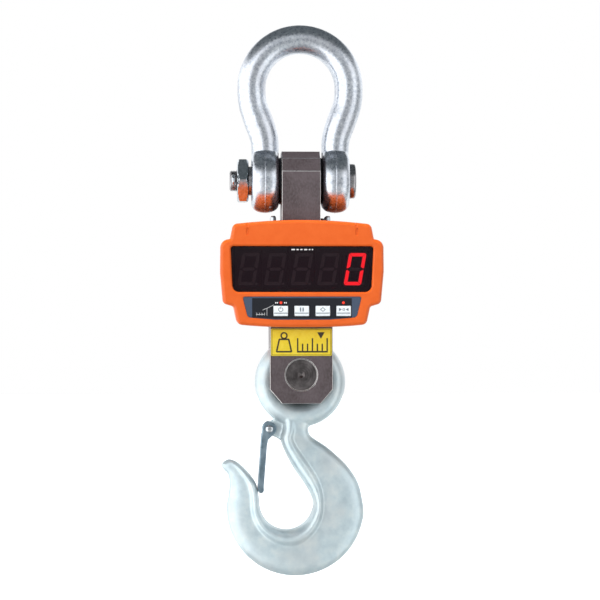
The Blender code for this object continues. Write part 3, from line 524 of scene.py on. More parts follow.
def make_bow():
    """The bow: a round bar along a half circle and a spline down each leg, with a crowned barrel at each end.
    Across a barrel its radius falls off as a superellipse of the distance from its middle, and the line that
    the dies left stands proud round it."""
    leg = smooth([(EAR_X, BOLT_Z + 8, 16.0), (EAR_X, -128, 16.2), (EAR_X, -118, 16.4), (42.2, -109, 16.6),
        (43.3, -101, 16.9), (45.4, -93.5, 17.2), (48.1, -86, 17.5), (51.0, -78, 17.5), (54.0, -70, 17.2),
        (56.7, -61, 17.0), (58.1, -51, 17.0)], 4)
    turns = np.linspace(0, np.pi / 2, 40)
    bend = np.stack([BOW_RADIUS * np.cos(turns), BOW_Z + BOW_RADIUS * np.sin(turns), 17.0 + 0.2 * np.sin(turns)],
        axis=1)
    half = np.vstack([leg, bend])
    whole = np.vstack([half, (half * [-1, 1, 1])[-2::-1]])
    bar = sweep(upright(whole[:, :2], 0), whole[:, 2], (0, 1, 0), columns=64)
    across = np.sin(np.linspace(-np.pi / 2, np.pi / 2, 33))
    power = 2.3
    barrel = [(EAR_RADIUS - EAR_CROWN + EAR_CROWN * max(0.0, 1 - abs(share)**power)**(1 / power), share * EAR_HALF)
        for share in across]
    ears = [lathe([(0, -EAR_HALF), *barrel, (0, EAR_HALF)], (side * EAR_X, 0, BOLT_Z), "X", 96) for side in (-1,
        1)]
    seam = [(36.5, -1.3), (38.0, -0.8), (38.4, -0.3), (38.4, 0.3), (38.0, 0.8), (36.5, 1.3)]
    flash = [lathe(seam, (side * EAR_X, 0, BOLT_Z), "X", 96, along=True) for side in (-1, 1)]
    piece("bow", [fused("bow", [bar, *ears], 1.15, 3), *flash], galvanised, "shackle_bow", 60)


def make_bolt():
    """The bolt: a chamfered head and a shank, and a threaded end. On the thread the radius is a triangle
    wave of the distance along the bolt less the turn round it."""
    low, high = cad("shackle_bolt")
    centre = (0, 0, BOLT_Z)
    head = [(0, high[0] - 0.8), (14.2, high[0] - 0.8), (15.0, high[0]), (18.6, high[0]), (19.9, high[0] - 0.5),
        (20.8, high[0] - 1.6), (20.8, 59.6), (20.4, 58.8), (17.5, 58.8), (17.5, -61.5), (16.4, -61.5),
        (16.4, -74.8), (12.6, -76.2)]
    columns, pitch, crest = 72, 1.75, 12.6
    turns = np.linspace(0, 1, columns, endpoint=False)
    places = np.arange(-76.4, low[0] + 1.0, -0.3)
    wave = np.abs(((places[:, None] / pitch + turns) % 1) * 2 - 1)
    thread = [(crest - row, place) for row, place in zip(wave, places)]
    end = [(11.4, low[0] + 0.6), (10.6, low[0]), (0, low[0])]
    piece("bolt", [lathe(head + thread + end, centre, "X", columns)], turned_steel, "shackle_bolt", 40)


def make_nut():
    """The nut: a hexagon cut by a cone at both faces, so that each radius is the lesser of the two."""
    low, high = cad("shackle_nut")
    near, far, flats, columns = high[0], low[0], 50.0, 144
    sides = hexagon(flats, columns)
    heights = np.concatenate([near - np.array([0, 0.4, 0.9, 1.5, 2.2, 3.0]), far + np.array([3.0, 2.2, 1.5, 0.9,
        0.4, 0])])
    cone = 23.6 + 2.0 * np.minimum(np.abs(heights - near), np.abs(heights - far))
    rows = [(17.0, near), (17.6, near), *[(np.minimum(sides, c), h) for c, h in zip(cone, heights)], (18.2, far),
        (16.6, far + 1.2), (16.6, near - 1.2)]
    piece("nut", [lathe(rows, (0, 0, BOLT_Z), "X", columns, along=True)], zinc_plated, "shackle_nut", 25)


def make_split_pin():
    """The split pin: a wire round an eye in front, through the bolt and bent up behind, and its second leg."""
    x, reach = -80.3, 4.6
    eye = [(x, -15.5 - reach + reach * math.cos(turn), BOLT_Z + reach * math.sin(turn))
        for turn in np.radians(np.linspace(-308, 0, 30))]
    leg = [(x, y, BOLT_Z) for y in np.linspace(-8, 13, 8)]
    tail = smooth([(x, 14.5, BOLT_Z + 0.3), (x - 1.0, 17.6, BOLT_Z + 2.0), (x - 2.0, 19.2, BOLT_Z + 6.4), (x - 2.6,
        19.6, BOLT_Z + 11.0)], 5)
    down = smooth([(x, 14.5, BOLT_Z - 0.6), (x + 1.0, 17.6, BOLT_Z - 2.6), (x + 1.6, 19.0, BOLT_Z - 6.6), (x + 1.8,
        19.4, BOLT_Z - 9.0)], 5)
    wires = [sweep([*eye, *leg, *tail], 1.8, (1, 0, 0), 14), sweep([(x, 8, BOLT_Z - 0.4), *down], 1.3, (1, 0, 0),
        14)]
    piece("split_pin_wire", wires, zinc_plated, "split_pin", 60)


def make_spacers():
    """Turned rings with chamfered edges, on the bolt at both sides of the bar."""
    for node in ("spacer_washer_left", "spacer_washer_right"):
        (a, *_), (b, *_) = cad(node)
        rows = [(18.5, a), (27.6, a), (28.0, a + 0.4), (28.0, b - 0.4), (27.6, b), (18.5, b)]
        piece(node.replace("washer", "ring"), [lathe(rows, (0, 0, BOLT_Z), "X", 96, along=True)], blackened, node)


# ---- Load path

PIN_Z = frame["joints"][1]["pos_m"][2] / MM


def make_bar():
    """The bar: the CAD solid with its edges broken to a line that carries a painted highlight. Its flat faces stay
    flat in the light.
    """
    bar = piece("load_cell_bar", welded("load_cell_body"), [milled, edge_highlight], "load_cell_body", 30)
    bevel = bar.modifiers.new("edges", "BEVEL")
    # The bevels take the second finish: a near-white painted highlight along the edges.
    bevel.width, bevel.segments, bevel.material, bevel.harden_normals = 0.6 * MM, 2, 1, True
    bevel.limit_method, bevel.angle_limit = "ANGLE", math.radians(18)


def make_pin():
    """The hook pin: a chamfered face with a turned step, shallow tool rings and a drilled centre; its chamfer ring
    carries a painted highlight.
    """
    low, high = cad("hook_pin")
    face = low[1]
    rings = [(radius, face + 0.9 - 0.04 * (radius - 4.6) + 0.05 * math.cos(radius * 2.2))
        for radius in np.linspace(4.6, 18.2, 60)]
    dish = [(0, face + 3.4), (1.1, face + 3.0), (3.0, face + 1.5), (3.6, face + 1.1), *rings]
    rim = [rings[-1], (18.4, face + 0.05), (18.7, face), (19.0, face + 0.4)]
    body = [(19.0, face + 0.4), (19.0, high[1] - 1.4), (17.6, high[1]), (0, high[1])]
    centre = (0, 0, PIN_Z)
    parts = [lathe(dish, centre, "Y", 128, ends=False), lathe(body, centre, "Y", 128, ends=False)]
    # The chamfer ring takes the second finish, a near-white painted highlight.
    parts += painted([lathe(rim, centre, "Y", 128, ends=False)], 1)
    piece("hook_pin_turned", parts, [oiled_pin, edge_highlight], "hook_pin", 40)


def make_label():
    """The plate under the casing: a yellow vinyl face with a border, and a weight and a scale of ticks."""
    low, high = cad("capacity_label")
    (x, _, z), (half_x, _, half_z), front = middle("capacity_label"), half_size("capacity_label"), low[1]
    parts = eased(oblong(x, z, half_x, half_z, 1.6), high[1], front, 0.15)
    border = oblong(x, z, half_x - 0.9, half_z - 0.9, 1.2), oblong(x, z, half_x - 1.4, half_z - 1.4, 0.9)
    parts += print_on(front, *border)
    weight = rounded([(-30.5, -357.5, 1.6), (-10.5, -357.5, 1.6), (-14.2, -341.0, 1.6), (-26.8, -341.0, 1.6)])
    parts += print_on(front, weight, inset(weight, 1.9))
    parts += print_on(front, ring_of(-20.5, -337.6, 4.3), ring_of(-20.5, -337.6, 2.5))
    first, apart, foot = -4.4, 5.8, -355.6
    for number in range(7):
        tall = 15.0 if number % 3 == 0 else 8.5
        parts += print_on(front, oblong(first + number * apart, foot + tall / 2, 0.85, tall / 2, 0.3))
    parts += print_on(front, oblong(13.0, -356.6, 18.25, 0.95, 0.4))
    parts += print_on(front, np.array([(18.6, -333.6), (27.4, -333.6), (23.0, -341.4)]))
    piece("label_plate", parts, [vinyl, dark_ink], "capacity_label")


# ---- Hook and latch

LATCH_X, LATCH_Z = (1000 * frame["joints"][2]["pos_m"][axis] for axis in (0, 2))
EYE_Z, EYE_RADIUS, EYE_HALF = -393.6, 54.3, 15.5


def hook_sections(stations, columns=20):
    """Closed sections between the hook's inner and outer edge, one for each row of
    (x in, z in, x out, z out, bead half thickness, bead width, groove depth).

    From the inner edge the half thickness rises as a superellipse to the bead's crest, drops by a cosine to
    the groove at the bead's width, and falls to nothing at the outer edge as a superellipse of power 3.
    """
    inner, outer = stations[:, 0:2], stations[:, 2:4]
    bead_half, bead, groove = (stations[:, i:i + 1] for i in range(4, 7))
    width = np.linalg.norm(outer - inner, axis=1)[:, None]
    turn = np.linspace(0, np.pi / 2, columns)[None]
    bead = np.minimum(bead, 0.6 * width)
    crest = 0.55 * bead
    rise = crest * (1 - np.cos(turn)), bead_half * np.sin(turn)**0.9
    fall = np.linspace(0, 1, 14)[None, 1:]
    dip = crest + (bead - crest) * fall, bead_half - groove * (1 - np.cos(np.pi * fall**1.3)) / 2
    turn = np.linspace(0, np.pi / 2, 2 * columns)[None, 1:]
    web = bead + (width - bead) * np.sin(turn)**(2 / 3), (bead_half - groove) * np.cos(turn).clip(0)**(2 / 3)
    reach = np.hstack([part[0] for part in (rise, dip, web)])
    half = np.hstack([part[1] for part in (rise, dip, web)])
    reach, half = np.hstack([reach, reach[:, -2:0:-1]]), np.hstack([half, -half[:, -2:0:-1]])
    spots = inner[:, None] + (outer - inner)[:, None] * (reach / width)[..., None]
    return np.stack([spots[..., 0], -half, spots[..., 1]], axis=-1)


def make_hook():
    """The hook: one loft of beaded sections from the neck round the bowl to the nose, a ring eye and a lug
    for the latch, fused and filleted. The eye's outer edge is one circle and its hole another, a little
    higher; its section is an ellipse between them, thicker across than in the plane of the hook."""
    neck = [(-24, -431, 20, -431, 13, 16, 0), (-20.5, -441, 13, -441, 15, 15, 1.5), (-20.8, -451, 9.8, -452, 17,
        15.5, 3.5), (-23.7, -461.6, 15, -460.4, 18, 16.5, 4.6), (-18.7, -477, 31, -471, 19, 18.5, 5.2),
        (-8.2, -496.6, 46.9, -484.5, 20, 21, 5.4), (3.2, -513, 61.0, -500, 20.5, 19.5, 5.4), (11.6, -527, 71.2,
        -519, 20.5, 16, 5.2)]
    steps = 19
    angles = np.radians(np.linspace(-3, -183, steps))
    bead = np.interp(np.linspace(0, 1, steps), [0, 0.13, 0.25, 0.36, 0.46, 0.52, 0.64, 0.73, 0.82, 0.93, 1],
        [12.6, 14.6, 17, 19.6, 20, 19, 16.8, 14.8, 13, 11.4, 10.5])
    bowl = np.stack([-16.5 + 32.2 * np.cos(angles), -537 + 33.4 * np.sin(angles), -5.6 + 82.4 * np.cos(angles),
        -544.2 + 81.8 * np.sin(angles), np.full(steps, 20.5), bead, np.full(steps, 5.2)], axis=1)
    nose = [(-51.6, -519, -86.0, -530, 18, 9.5, 4.2), (-56.8, -508.5, -84.6, -515.5, 15.5, 9, 3.4), (-65.0, -498.5,
        -86.2, -504.5, 12.5, 8, 2.4), (-73.3, -491, -91.6, -498.5, 10, 7, 1.2), (-79.5, -487.4, -93.6, -495.4, 8,
        6, 0.3), (-82.6, -486.4, -94.2, -493.6, 6.4, 5, 0), (-85.6, -486.0, -93.6, -491.0, 3.8, 3, 0),
        (-88.0, -486.4, -91.0, -488.4, 1.2, 1, 0)]
    stations = smooth(np.vstack([neck, bowl, nose]), 4)
    body = skin(hook_sections(stations))
    hole = 27.4 + 1.5 * np.sin(full_turn(160))
    eye = lathe([((EYE_RADIUS + hole) / 2 + (EYE_RADIUS - hole) / 2 * math.cos(t), EYE_HALF * math.sin(t))
        for t in full_turn(40)], (0, 0, EYE_Z), "Y", 160, along=True)
    lug = np.vstack([[(-14, -436), (-14, -466), (-24, -463), (-31, -459)], arc(LATCH_X, LATCH_Z, 7.4, 250, 100,
        14), [(-33, -439), (-26, -432)]])
    forging = fused("eye_hook", [body, eye, *eased(lug, -5.6, 5.6, 1.0)], 1.2, 4)
    piece("eye_hook", [forging], satin_zinc, "hook", 180)


def make_latch():
    """The latch: two stamped cheeks with a round head on the pin and a folded back between them, fused."""
    head = arc(LATCH_X, LATCH_Z, 8.5, 196, -38, 30)
    strip = [(-38.2, -462.5), (-39.8, -470), (-43.4, -518), *arc(-47.0, -522.6, 3.7, -10, -170, 12), (-51.1, -520),
        (-47.3, -466), (-46.9, -458)]
    outline = np.vstack([head, strip])
    back = np.array([(-46.3, -457), (-44.6, -457), (-48.4, -522), (-48.4, -525.4), (-50.6, -523.4), (-51.0, -520),
        (-47.2, -466)])
    parts = [part for side in (-1, 1) for part in eased(outline, side * 11, side * 8.8, 0.8)]
    parts += eased(back, -9.6, 9.6, 0.2)
    piece("latch_sheet", [fused("latch_sheet", parts, 0.5, 2)], blued, "latch", 180)


def make_latch_pin():
    """The latch's rivet: a turned pin with a domed head at both ends."""
    half = 13.1
    rows = [(0, half + 0.3), (1.6, half + 0.25), (3.0, half), (4.2, half - 0.6), (4.6, half - 1.2),
        (4.6, half - 2), (3.6, half - 2)]
    rows += [(radius, -height) for radius, height in reversed(rows)]
    piece("latch_rivet", [lathe(rows, (LATCH_X, 0, LATCH_Z), "Y", 40)], zinc_plated, "latch_pin")


def make_spring():
    """The latch spring: a wire along a helix round the pin, and a leg down the latch."""
    turns = np.linspace(0, -2.3 * TURN, 110)
    start = -7.0
    coil = np.stack([LATCH_X + 5.4 * np.cos(turns), start - 1.2 * turns / turns[-1],
        LATCH_Z + 5.4 * np.sin(turns)], axis=1)
    end = coil[-1]
    leg = smooth([end, end + [-3.0, 0, -5.0], end + [-5.0, 0, -14.0]], 4)[1:]
    piece("spring_wire", [sweep([*coil, *leg], 0.45, (0, 1, 0), 10)], zinc_plated, "latch_spring", 60)


# ---- Casing

TOP_Z, BOTTOM_Z, FACE, WALL = -201.9, -327.4, 60.0, 4.0
INNER, RECESS, RIM = FACE - WALL, 58.8, 5.6  # the face's back, the keypad's bed, the width of the face's edge
NOTCH_X, NOTCH_HALF, NOTCH_DEPTH = 64.0, 1.7, 1.1
TOP_OPENING, BOTTOM_OPENING = 26.4, 40.6  # half the width of the bar's openings
WINDOW = rounded([(83.6, -232.6, 3.5), (81.2, -286.3, 8.0), (-81.2, -286.3, 8.0), (-83.6, -232.6, 3.5)])
KEYPAD = rounded([(69.9, -291.5, 2.5), (63.8, -316.0, 5.0), (32.0, -318.7, 60), (-32.0, -318.7, 60),
    (-63.8, -316.0, 5.0), (-69.9, -291.5, 2.5)])
KEYS = {"key_power": -25.1, "key_hold": -0.5, "key_tare": 24.1, "key_zero": 48.5}
KEY_Z = middle("key_power")[2]
LAMP_Z = middle("unit_led")[2]
LAMPS = {name: middle(name)[0] for name in ("unit_led", "stable_led")}
SCREWS = {where: middle("case_screw_" + where)[[0, 2]] for where in ("upper_left", "upper_right", "lower_left",
    "lower_right")}


def case_outline():
    """The casing from the front: a parabola over the top, shoulders, swelling sides and a cubic underside."""
    close = NOTCH_X + np.linspace(-2.4, 2.4, 17)
    arch = np.unique(np.round(np.concatenate([np.linspace(0, 72, 25), [TOP_OPENING], close]), 3))
    foot = np.unique(np.round(np.concatenate([np.linspace(0, 66, 12), [BOTTOM_OPENING]]), 3))
    right = [(x, TOP_Z - 4.3 * (x / 76)**2, 0) for x in arch]
    right += [(80.9, -206.6, 7), (84.4, -224.2, 1.5), (95.6, -226.0, 10), (96.0, -262.0, 30), (92.6, -299.6, 6),
        (80.0, -303.4, 4), (75.6, -324.2, 7)]
    right += [(x, BOTTOM_Z + 3.2 * (x / 75.6)**3, 0) for x in foot[::-1]]
    return rounded(right + [(-x, z, radius) for x, z, radius in reversed(right[1:-1])])


OUTLINE = case_outline()


def case_wall(side, notched):
    """The wall of one half of the casing as two skins 4 mm apart, with the bar's openings left out.

    A skin is the outline carried along Y; at the face it turns in on an elliptical quarter. Cells of the
    grid inside an opening are dropped, and each edge between a kept and a dropped cell is walled across.
    """
    shared = [1.2, 2.0, 12.0, 26.0, 41.2]
    turns = np.linspace(0, np.pi / 2, 11)
    outer = [(0.5, 1.2), *[(0, y) for y in shared[1:]],
        *[(4 * (1 - math.cos(t)), FACE - 6 + 6 * math.sin(t)) for t in turns],
        (4.4, FACE), (5.1, FACE), (RIM, FACE)]
    inner = [(WALL, y) for y in (*shared, INNER)]
    outer_grid = np.stack([upright(inset(OUTLINE, by), side * y) for by, y in outer])
    inner_grid = np.stack([upright(inset(OUTLINE, by), side * y) for by, y in inner])
    if notched:
        rise = np.array([0] * 5 + [1.0] * len(turns) + [1.0, 0.9, 0])[:, None]
        angle = np.concatenate([np.zeros(5), turns, np.full(3, np.pi / 2)])[:, None]
        rise[5:9] = np.linspace(0, 0.9, 4)[:, None]
        off = (np.abs(OUTLINE[:, 0]) - NOTCH_X) / NOTCH_HALF
        depth = NOTCH_DEPTH * np.sqrt(np.clip(1 - off**2, 0, 1)) * (OUTLINE[:, 1] > -212) * rise
        outer_grid[..., 1] -= side * depth * np.sin(angle)
        outer_grid[..., 2] -= depth * np.cos(angle)
    count, levels = len(OUTLINE), len(shared)
    centre = (OUTLINE[:, 0] + np.roll(OUTLINE[:, 0], -1)) / 2
    height = (OUTLINE[:, 1] + np.roll(OUTLINE[:, 1], -1)) / 2
    top, foot = height > TOP_Z - 28, height < BOTTOM_Z + 17
    opening = ((np.abs(centre) < TOP_OPENING) & top) | ((np.abs(centre) < BOTTOM_OPENING) & foot)
    kept = np.ones((levels + 1, count), bool)
    kept[0] = False
    kept[1:-1] = ~opening
    points = np.concatenate([outer_grid[:levels].reshape(-1, 3), inner_grid[:levels].reshape(-1, 3)])
    spot = np.arange(levels * count).reshape(levels, count)
    beside = np.roll(spot, -1, axis=1)
    cells = kept[1:-1]
    quads = np.stack([spot[:-1], beside[:-1], beside[1:], spot[1:]], axis=-1)[cells]
    shift = levels * count
    rims = kept[1:] != kept[:-1]
    across = np.stack([spot, beside, beside + shift, spot + shift], axis=-1)[rims]
    turned = cells != np.roll(cells, 1, axis=1)
    upward = np.stack([spot[:-1], spot[1:], spot[1:] + shift, spot[:-1] + shift], axis=-1)[turned]
    wall = points, np.vstack([quads, quads + shift, across, upward]).tolist()
    return [wall, skin(outer_grid[levels - 1:], ends=False), skin(inner_grid[levels - 1:], ends=False)]


def keypad_holes(half_x, half_z, radius):
    """The holes of the four keys and the two lamps."""
    keys = [oblong(x, KEY_Z, half_x, half_z, radius) for x in KEYS.values()]
    return keys + [ring_of(x, LAMP_Z, 1.8, 24) for x in LAMPS.values()]


def reveal(loops, side):
    """The edge of an opening through rows of (loop, y)."""
    return skin(np.stack([upright(loop, side * y) for loop, y in loops]), ends=False)


def make_front_shell():
    """The front half: its face holds the chamfered window opening, a recess with the keys' holes and two
    shallow marks under the notches."""
    bezel = [(inset(WINDOW, -by), y) for by, y in ((2.3, FACE), (1.9, FACE), (1.55, 59.85), (1.3, 59.6),
        (0.35, 58.5), (0.1, 58.1), (0, 57.6), (0, INNER))]
    ledge = [(inset(KEYPAD, -by), y) for by, y in ((0.5, FACE), (0.25, 59.95), (0.05, 59.75), (0, 59.5),
        (0, RECESS))]
    holes = keypad_holes(8.85, 6.3, 1.0)
    parts = case_wall(-1, True)
    dimples = [oblong(side * NOTCH_X, -215.6, NOTCH_HALF, 4.6, 1.6) for side in (-1, 1)]
    floor = FACE - 1.0
    for dimple in dimples:
        parts += [reveal([(dimple, FACE), (inset(dimple, 0.35), 59.3), (inset(dimple, 0.8), floor)], -1),
            flat([inset(dimple, 0.8)], -floor)]
    sides = [reveal([(hole, RECESS), (hole, INNER)], -1) for hole in holes]
    parts += [flat([inset(OUTLINE, RIM), bezel[0][0], ledge[0][0], *dimples], -FACE), reveal(bezel, -1),
        reveal(ledge, -1), flat([KEYPAD, *holes], -RECESS), *sides,
        flat([inset(OUTLINE, WALL), WINDOW, *holes], -INNER)]
    piece("front_casing", parts, powder_coat, "front_shell", 32)


def make_rear_shell():
    """The rear half: its face holds four counterbored pockets and the recess of the battery cover."""
    centre, half = middle("battery_cover"), half_size("battery_cover")
    opening = oblong(centre[0], centre[2], half[0] + 0.3, half[2] + 0.3, 3.0)
    parts = case_wall(1, False)
    pockets, bosses = ([ring_of(x, z, radius) for x, z in SCREWS.values()] for radius in (5.2, 6.6))
    well, boss_depth = 54.5, 52.5
    wide = [inset(opening, -0.5), *[inset(pocket, -0.5) for pocket in pockets]]
    parts += [flat([inset(OUTLINE, RIM), *wide], FACE)]
    for loop, depth in ((opening, 57.3), *[(pocket, well) for pocket in pockets]):
        parts += [reveal([(inset(loop, -0.5), FACE), (inset(loop, -0.15), 59.85), (loop, 59.5), (loop, depth)], 1),
            flat([loop], depth)]
    for boss in bosses:
        parts += [reveal([(boss, INNER), (boss, boss_depth)], 1), flat([boss], boss_depth)]
    parts += [flat([inset(OUTLINE, WALL), *bosses], INNER)]
    piece("rear_casing", parts, powder_coat, "rear_shell", 32)


def make_battery_cover():
    """The battery cover: an eased plate with two screw wells and six grip bars, and its cross recess screws."""
    centre, half = middle("battery_cover"), half_size("battery_cover")
    outline = oblong(centre[0], centre[2], half[0], half[2], 2.8)
    screws = [middle("battery_cover_screw_" + where) for where in ("upper", "lower")]
    wells = [ring_of(spot[0], spot[2], 3.3) for spot in screws]
    grip = [oblong(centre[0], centre[2] - 9 + 3.6 * number, 11, 0.9, 0.85) for number in range(6)]
    parts = plate(outline, [(0, 57.6), (0, 59.2), (0.2, 59.6), (0.6, 59.8)], wells)
    for bar in grip:
        parts += eased(bar, 59.7, FACE, 0.12)
    piece("battery_lid", parts, powder_coat, "battery_cover")
    for where, spot in zip(("upper", "lower"), screws):
        recess = cross(1.7, 0.8)
        rows = [(0, 51), (1.5, 51.4), (1.6, 52), (1.6, 58.9), (2.9, 58.9), (2.9, 59.3), (2.4, 59.7), (recess + 0.1,
            59.7), (recess, 59.6), (recess * 0.6, 58.7), (0, 58.5)]
        piece("lid_screw_" + where, [lathe(rows, (spot[0], 0, spot[2]), "Y")], zinc_plated,
            "battery_cover_screw_" + where)


def make_screws():
    """Case screws with a hexagon socket, and cross recess screws that hold the casing to its brackets."""
    for where, (x, z) in SCREWS.items():
        socket = hexagon(4.0)
        rows = [(0, -18), (1.6, -17.6), (2.4, -16.6), (2.4, 54.8), (4.5, 54.8), (4.5, 58.4), (4.1, 59.1),
            (3.4, 59.4), (socket + 0.15, 59.4), (socket, 59.25), (socket, 57.2), (0, 56.6)]
        piece("case_bolt_" + where, [lathe(rows, (x, 0, z), "Y")], zinc_plated, "case_screw_" + where)
    for where in ("front_left", "front_right", "rear_left", "rear_right"):
        node = "bracket_screw_" + where
        low, high = cad(node)
        (x, y, _), top = middle(node), high[2]
        recess = cross(1.9, 0.9)
        rows = [(0, low[2]), (2.0, low[2] + 0.8), (2.0, -202.2), (3.4, -202.2), (3.4, top - 2.4), (3.1, top - 1.4),
            (2.5, top - 0.4), (2.15, top - 0.05), (recess + 0.05, top), (recess, top - 0.15), (recess * 0.6,
            top - 1.5), (0, top - 1.7)]
        piece("mount_screw_" + where, [lathe(rows, (x, y, 0), "Z")], zinc_plated, node)


def make_charge_cap():
    """The cap of the charging socket: a turned plug with a ribbed rim."""
    low, high = cad("charge_cap")
    x, y, _ = middle("charge_cap")
    rib = 0.16 * np.cos(24 * full_turn(72))
    top = high[2]
    rows = [(0, low[2]), (2.4, low[2]), (3.0, low[2] + 1), (3.0, -200.6), (4.1 + rib, -200.6), (4.2 + rib, -200.2),
        (4.2 + rib, top - 0.9), (3.8, top - 0.3), (3.2, top), (1.4, top), (1.2, top - 0.2), (0, top - 0.2)]
    piece("charge_plug", [lathe(rows, (x, y, 0), "Z")], rubber, "charge_cap")


def make_seals():
    """The rubber frames between the casing's openings and the bar, as closed rings of rounded rectangles."""
    for node, sunk in (("top_seal", 0.0), ("bottom_seal", 1.8)):
        low, high = cad(node)
        outer = oblong(0, 0, high[0], high[1], 0.8)
        inner = oblong(0, 0, high[0] - 3.0, high[1] - 3.1, 0.8)
        near, far = low[2] + sunk, high[2]
        loops = [(outer, near + 0.5), (inset(outer, 0.4), near), (inset(inner, -0.4), near), (inner, near + 0.5),
            (inner, far - 0.5), (inset(inner, -0.4), far), (inset(outer, 0.4), far), (outer, far - 0.5)]
        grid = np.stack([np.column_stack([loop, np.full(len(loop), height)]) for loop, height in loops])
        piece(node + "_lip", [skin(grid, along=True)], rubber, node)


# ---- Display and keys

SLANT = math.tan(math.radians(10))
DIGIT_X, DIGIT_Z, STROKE = 10.4, 19.0, 4.3


def segments():
    """The seven bars of a digit and its point: bars with mitred ends, and outer corners on an arc."""
    w, h, t, r = DIGIT_X, DIGIT_Z, STROKE, 3.0
    top = np.vstack([arc(-w + r, h - r, r, 135, 90, 5), arc(w - r, h - r, r, 90, 45, 5), [(w - t, h - t),
        (t - w, h - t)]])
    upper = np.vstack([arc(w - r, h - r, r, 45, 0, 5), [(w, 1.3), (w - 1.2, 0.7), (w - t, 2.6), (w - t, h - t)]])
    bar = np.array([(2.7 - w, 0), (4.9 - w, 1.95), (w - 4.9, 1.95), (w - 2.7, 0), (w - 4.9, -1.95), (4.9 - w,
        -1.95)])
    seven = {"top": top, "upper_right": upper, "upper_left": upper * [-1, 1], "middle": bar, "bottom": top * [1,
        -1], "lower_right": upper * [1, -1], "lower_left": upper * [-1, -1]}
    seven = {name: inset(shape, 0.16) for name, shape in seven.items()}
    seven["point"] = ring_of(w + 1.6, -h + 1.7, 1.6, 24)
    return {name: shape + np.stack([shape[:, 1] * SLANT, shape[:, 1] * 0], axis=1) for name,
        shape in seven.items()}


def make_digits():
    """Five digit modules: a block with inlaid segments. Only the last one is lit, as a nought."""
    for number in range(1, 6):
        node = f"led_digit_{number}"
        (_, front, _), (_, back, _) = cad(node)
        centre, half = middle(node), half_size(node)
        parts = eased(oblong(centre[0], centre[2], half[0], half[2], 0.6), back, front, 0.2)
        for name, shape in segments().items():
            shows = number == 5 and name not in ("middle", "point")
            parts += print_on(front, shape + centre[[0, 2]], number=2 if shows else 1, height=0.12)
        piece(f"digit_module_{number}", parts, [module_face, unlit, lit], node)


def make_window():
    """The window: an eased pane that reaches behind the casing's edge, with six plain dashes near its top."""
    low, high = cad("display_window")
    parts = eased(inset(WINDOW, -3.6), high[1], low[1], 0.3)
    for x, half in ((-10.4, 2.2), (-5.2, 1.4), (-0.8, 1.4), (4.2, 2.0), (8.8, 1.0), (12.2, 0.8)):
        parts += print_on(low[1], oblong(x, -236.6, half, 0.75, 0.6))
    piece("window_pane", parts, [smoked, white_ink], "display_window")


def make_overlay():
    """The keypad's film: charcoal in the middle and steel blue at both sides and along its edge, with marks."""
    (_, front, _), (_, back, _) = cad("keypad_overlay")
    edge = inset(KEYPAD, 0.3)
    holes = keypad_holes(8.8, 6.25, 0.9)
    parts = painted(plate(edge, [(0, back), (0, front + 0.1), (0.1, front)], holes), 1)
    panel = rounded([(58.0, -293.4, 0.8), (58.0, -316.0, 0.8), (32, -317.6, 60), (-32, -317.6, 60), (-58.5, -316.0,
        0.8), (-58.5, -293.4, 0.8)])
    parts += print_on(front, panel, *holes, number=0)
    lamp = LAMPS["unit_led"]
    for side in (-1, 1):
        for step in (0, 1.9):
            parts += print_on(front - 0.04, oblong(lamp + side * (4.2 + step), LAMP_Z, 0.6, 0.8, 0.3), number=2)
    drawing = [[(-54, -312.5), (-51, -312.5), (-48, -312.5), (-45, -312.5)], [(-46.5, -307.5), (-42, -305.6),
        (-37.5, -303.4), (-33, -301.2)], *[[(x, -313.6), (x, -312.0), (x, -310.4)] for x in (-53, -50, -47, -44)],
        [(-41.2, -313.6), (-41.2, -309.5), (-41.2, -305.6)]]
    for line in drawing:
        parts += print_on(front - 0.04, stroke(line, 0.35), number=2)
    piece("keypad_sheet", parts, [film_dark, film_blue, white_ink], "keypad_overlay")


def marks(node, x):
    """A key's picture: a ring with a bar, a pair of bars, a diamond, or two arrowheads at a ring."""
    z = KEY_Z + 1.7
    if node == "key_power":
        return [[np.vstack([arc(x, z, 2.9, 60, -240, 26), arc(x, z, 2.1, -240, 60, 26)])], [oblong(x, z + 1.9,
            0.45, 1.5, 0.2)]]
    if node == "key_hold":
        return [[oblong(x - 1.5, z, 0.8, 2.3, 0.3)], [oblong(x + 1.5, z, 0.8, 2.3, 0.3)]]
    if node == "key_tare":
        shape = np.array([(x - 3.4, z), (x, z + 2.7), (x + 3.4, z), (x, z - 2.7)])
        return [[shape, inset(shape, 0.75)]]
    heads = [[np.array([(x + s * 2.2, z), (x + s * 5.6, z + 1.9), (x + s * 5.6, z - 1.9)])] for s in (-1, 1)]
    return [[ring_of(x, z, 1.5, 24), ring_of(x, z, 0.8, 24)], *heads]


def make_keys():
    """Four moulded keys: a rounded cap over a flange, with a grey picture and a grey line below it."""
    for node, x in KEYS.items():
        (_, front, _), (_, back, _) = cad(node)
        cap = oblong(x, KEY_Z, 8.45, 5.9, 0.9)
        rows = [(0, -55.6), (0, front + 0.5), (0.1, front + 0.22), (0.3, front + 0.06), (0.6, front)]
        flange = oblong(x, KEY_Z, 10.45, 7.9, 1.2)
        parts = plate(cap, rows) + eased(flange, back, -55.7, 0.1)
        for loops in marks(node, x):
            parts += print_on(front, *loops)
        parts += print_on(front, oblong(x, KEY_Z - 2.5, 8.0, 0.5, 0.3))
        piece(node + "_cap", parts, [key_cap, grey_ink], node)


def make_lamps():
    """The indicator lamps: turned rods with a domed end."""
    for node, x in LAMPS.items():
        (_, front, _), (_, back, _) = cad(node)
        rows = [(0, back), (1.5, back), (1.5, front + 1.2), (1.4, front + 0.6), (1.1, front + 0.2), (0.6, front),
            (0, front)]
        piece(node + "_lens", [lathe(rows, (x, 0, LAMP_Z), "Y", 36)], lamp_on, node, 60)


# ---- CAD nodes that stay

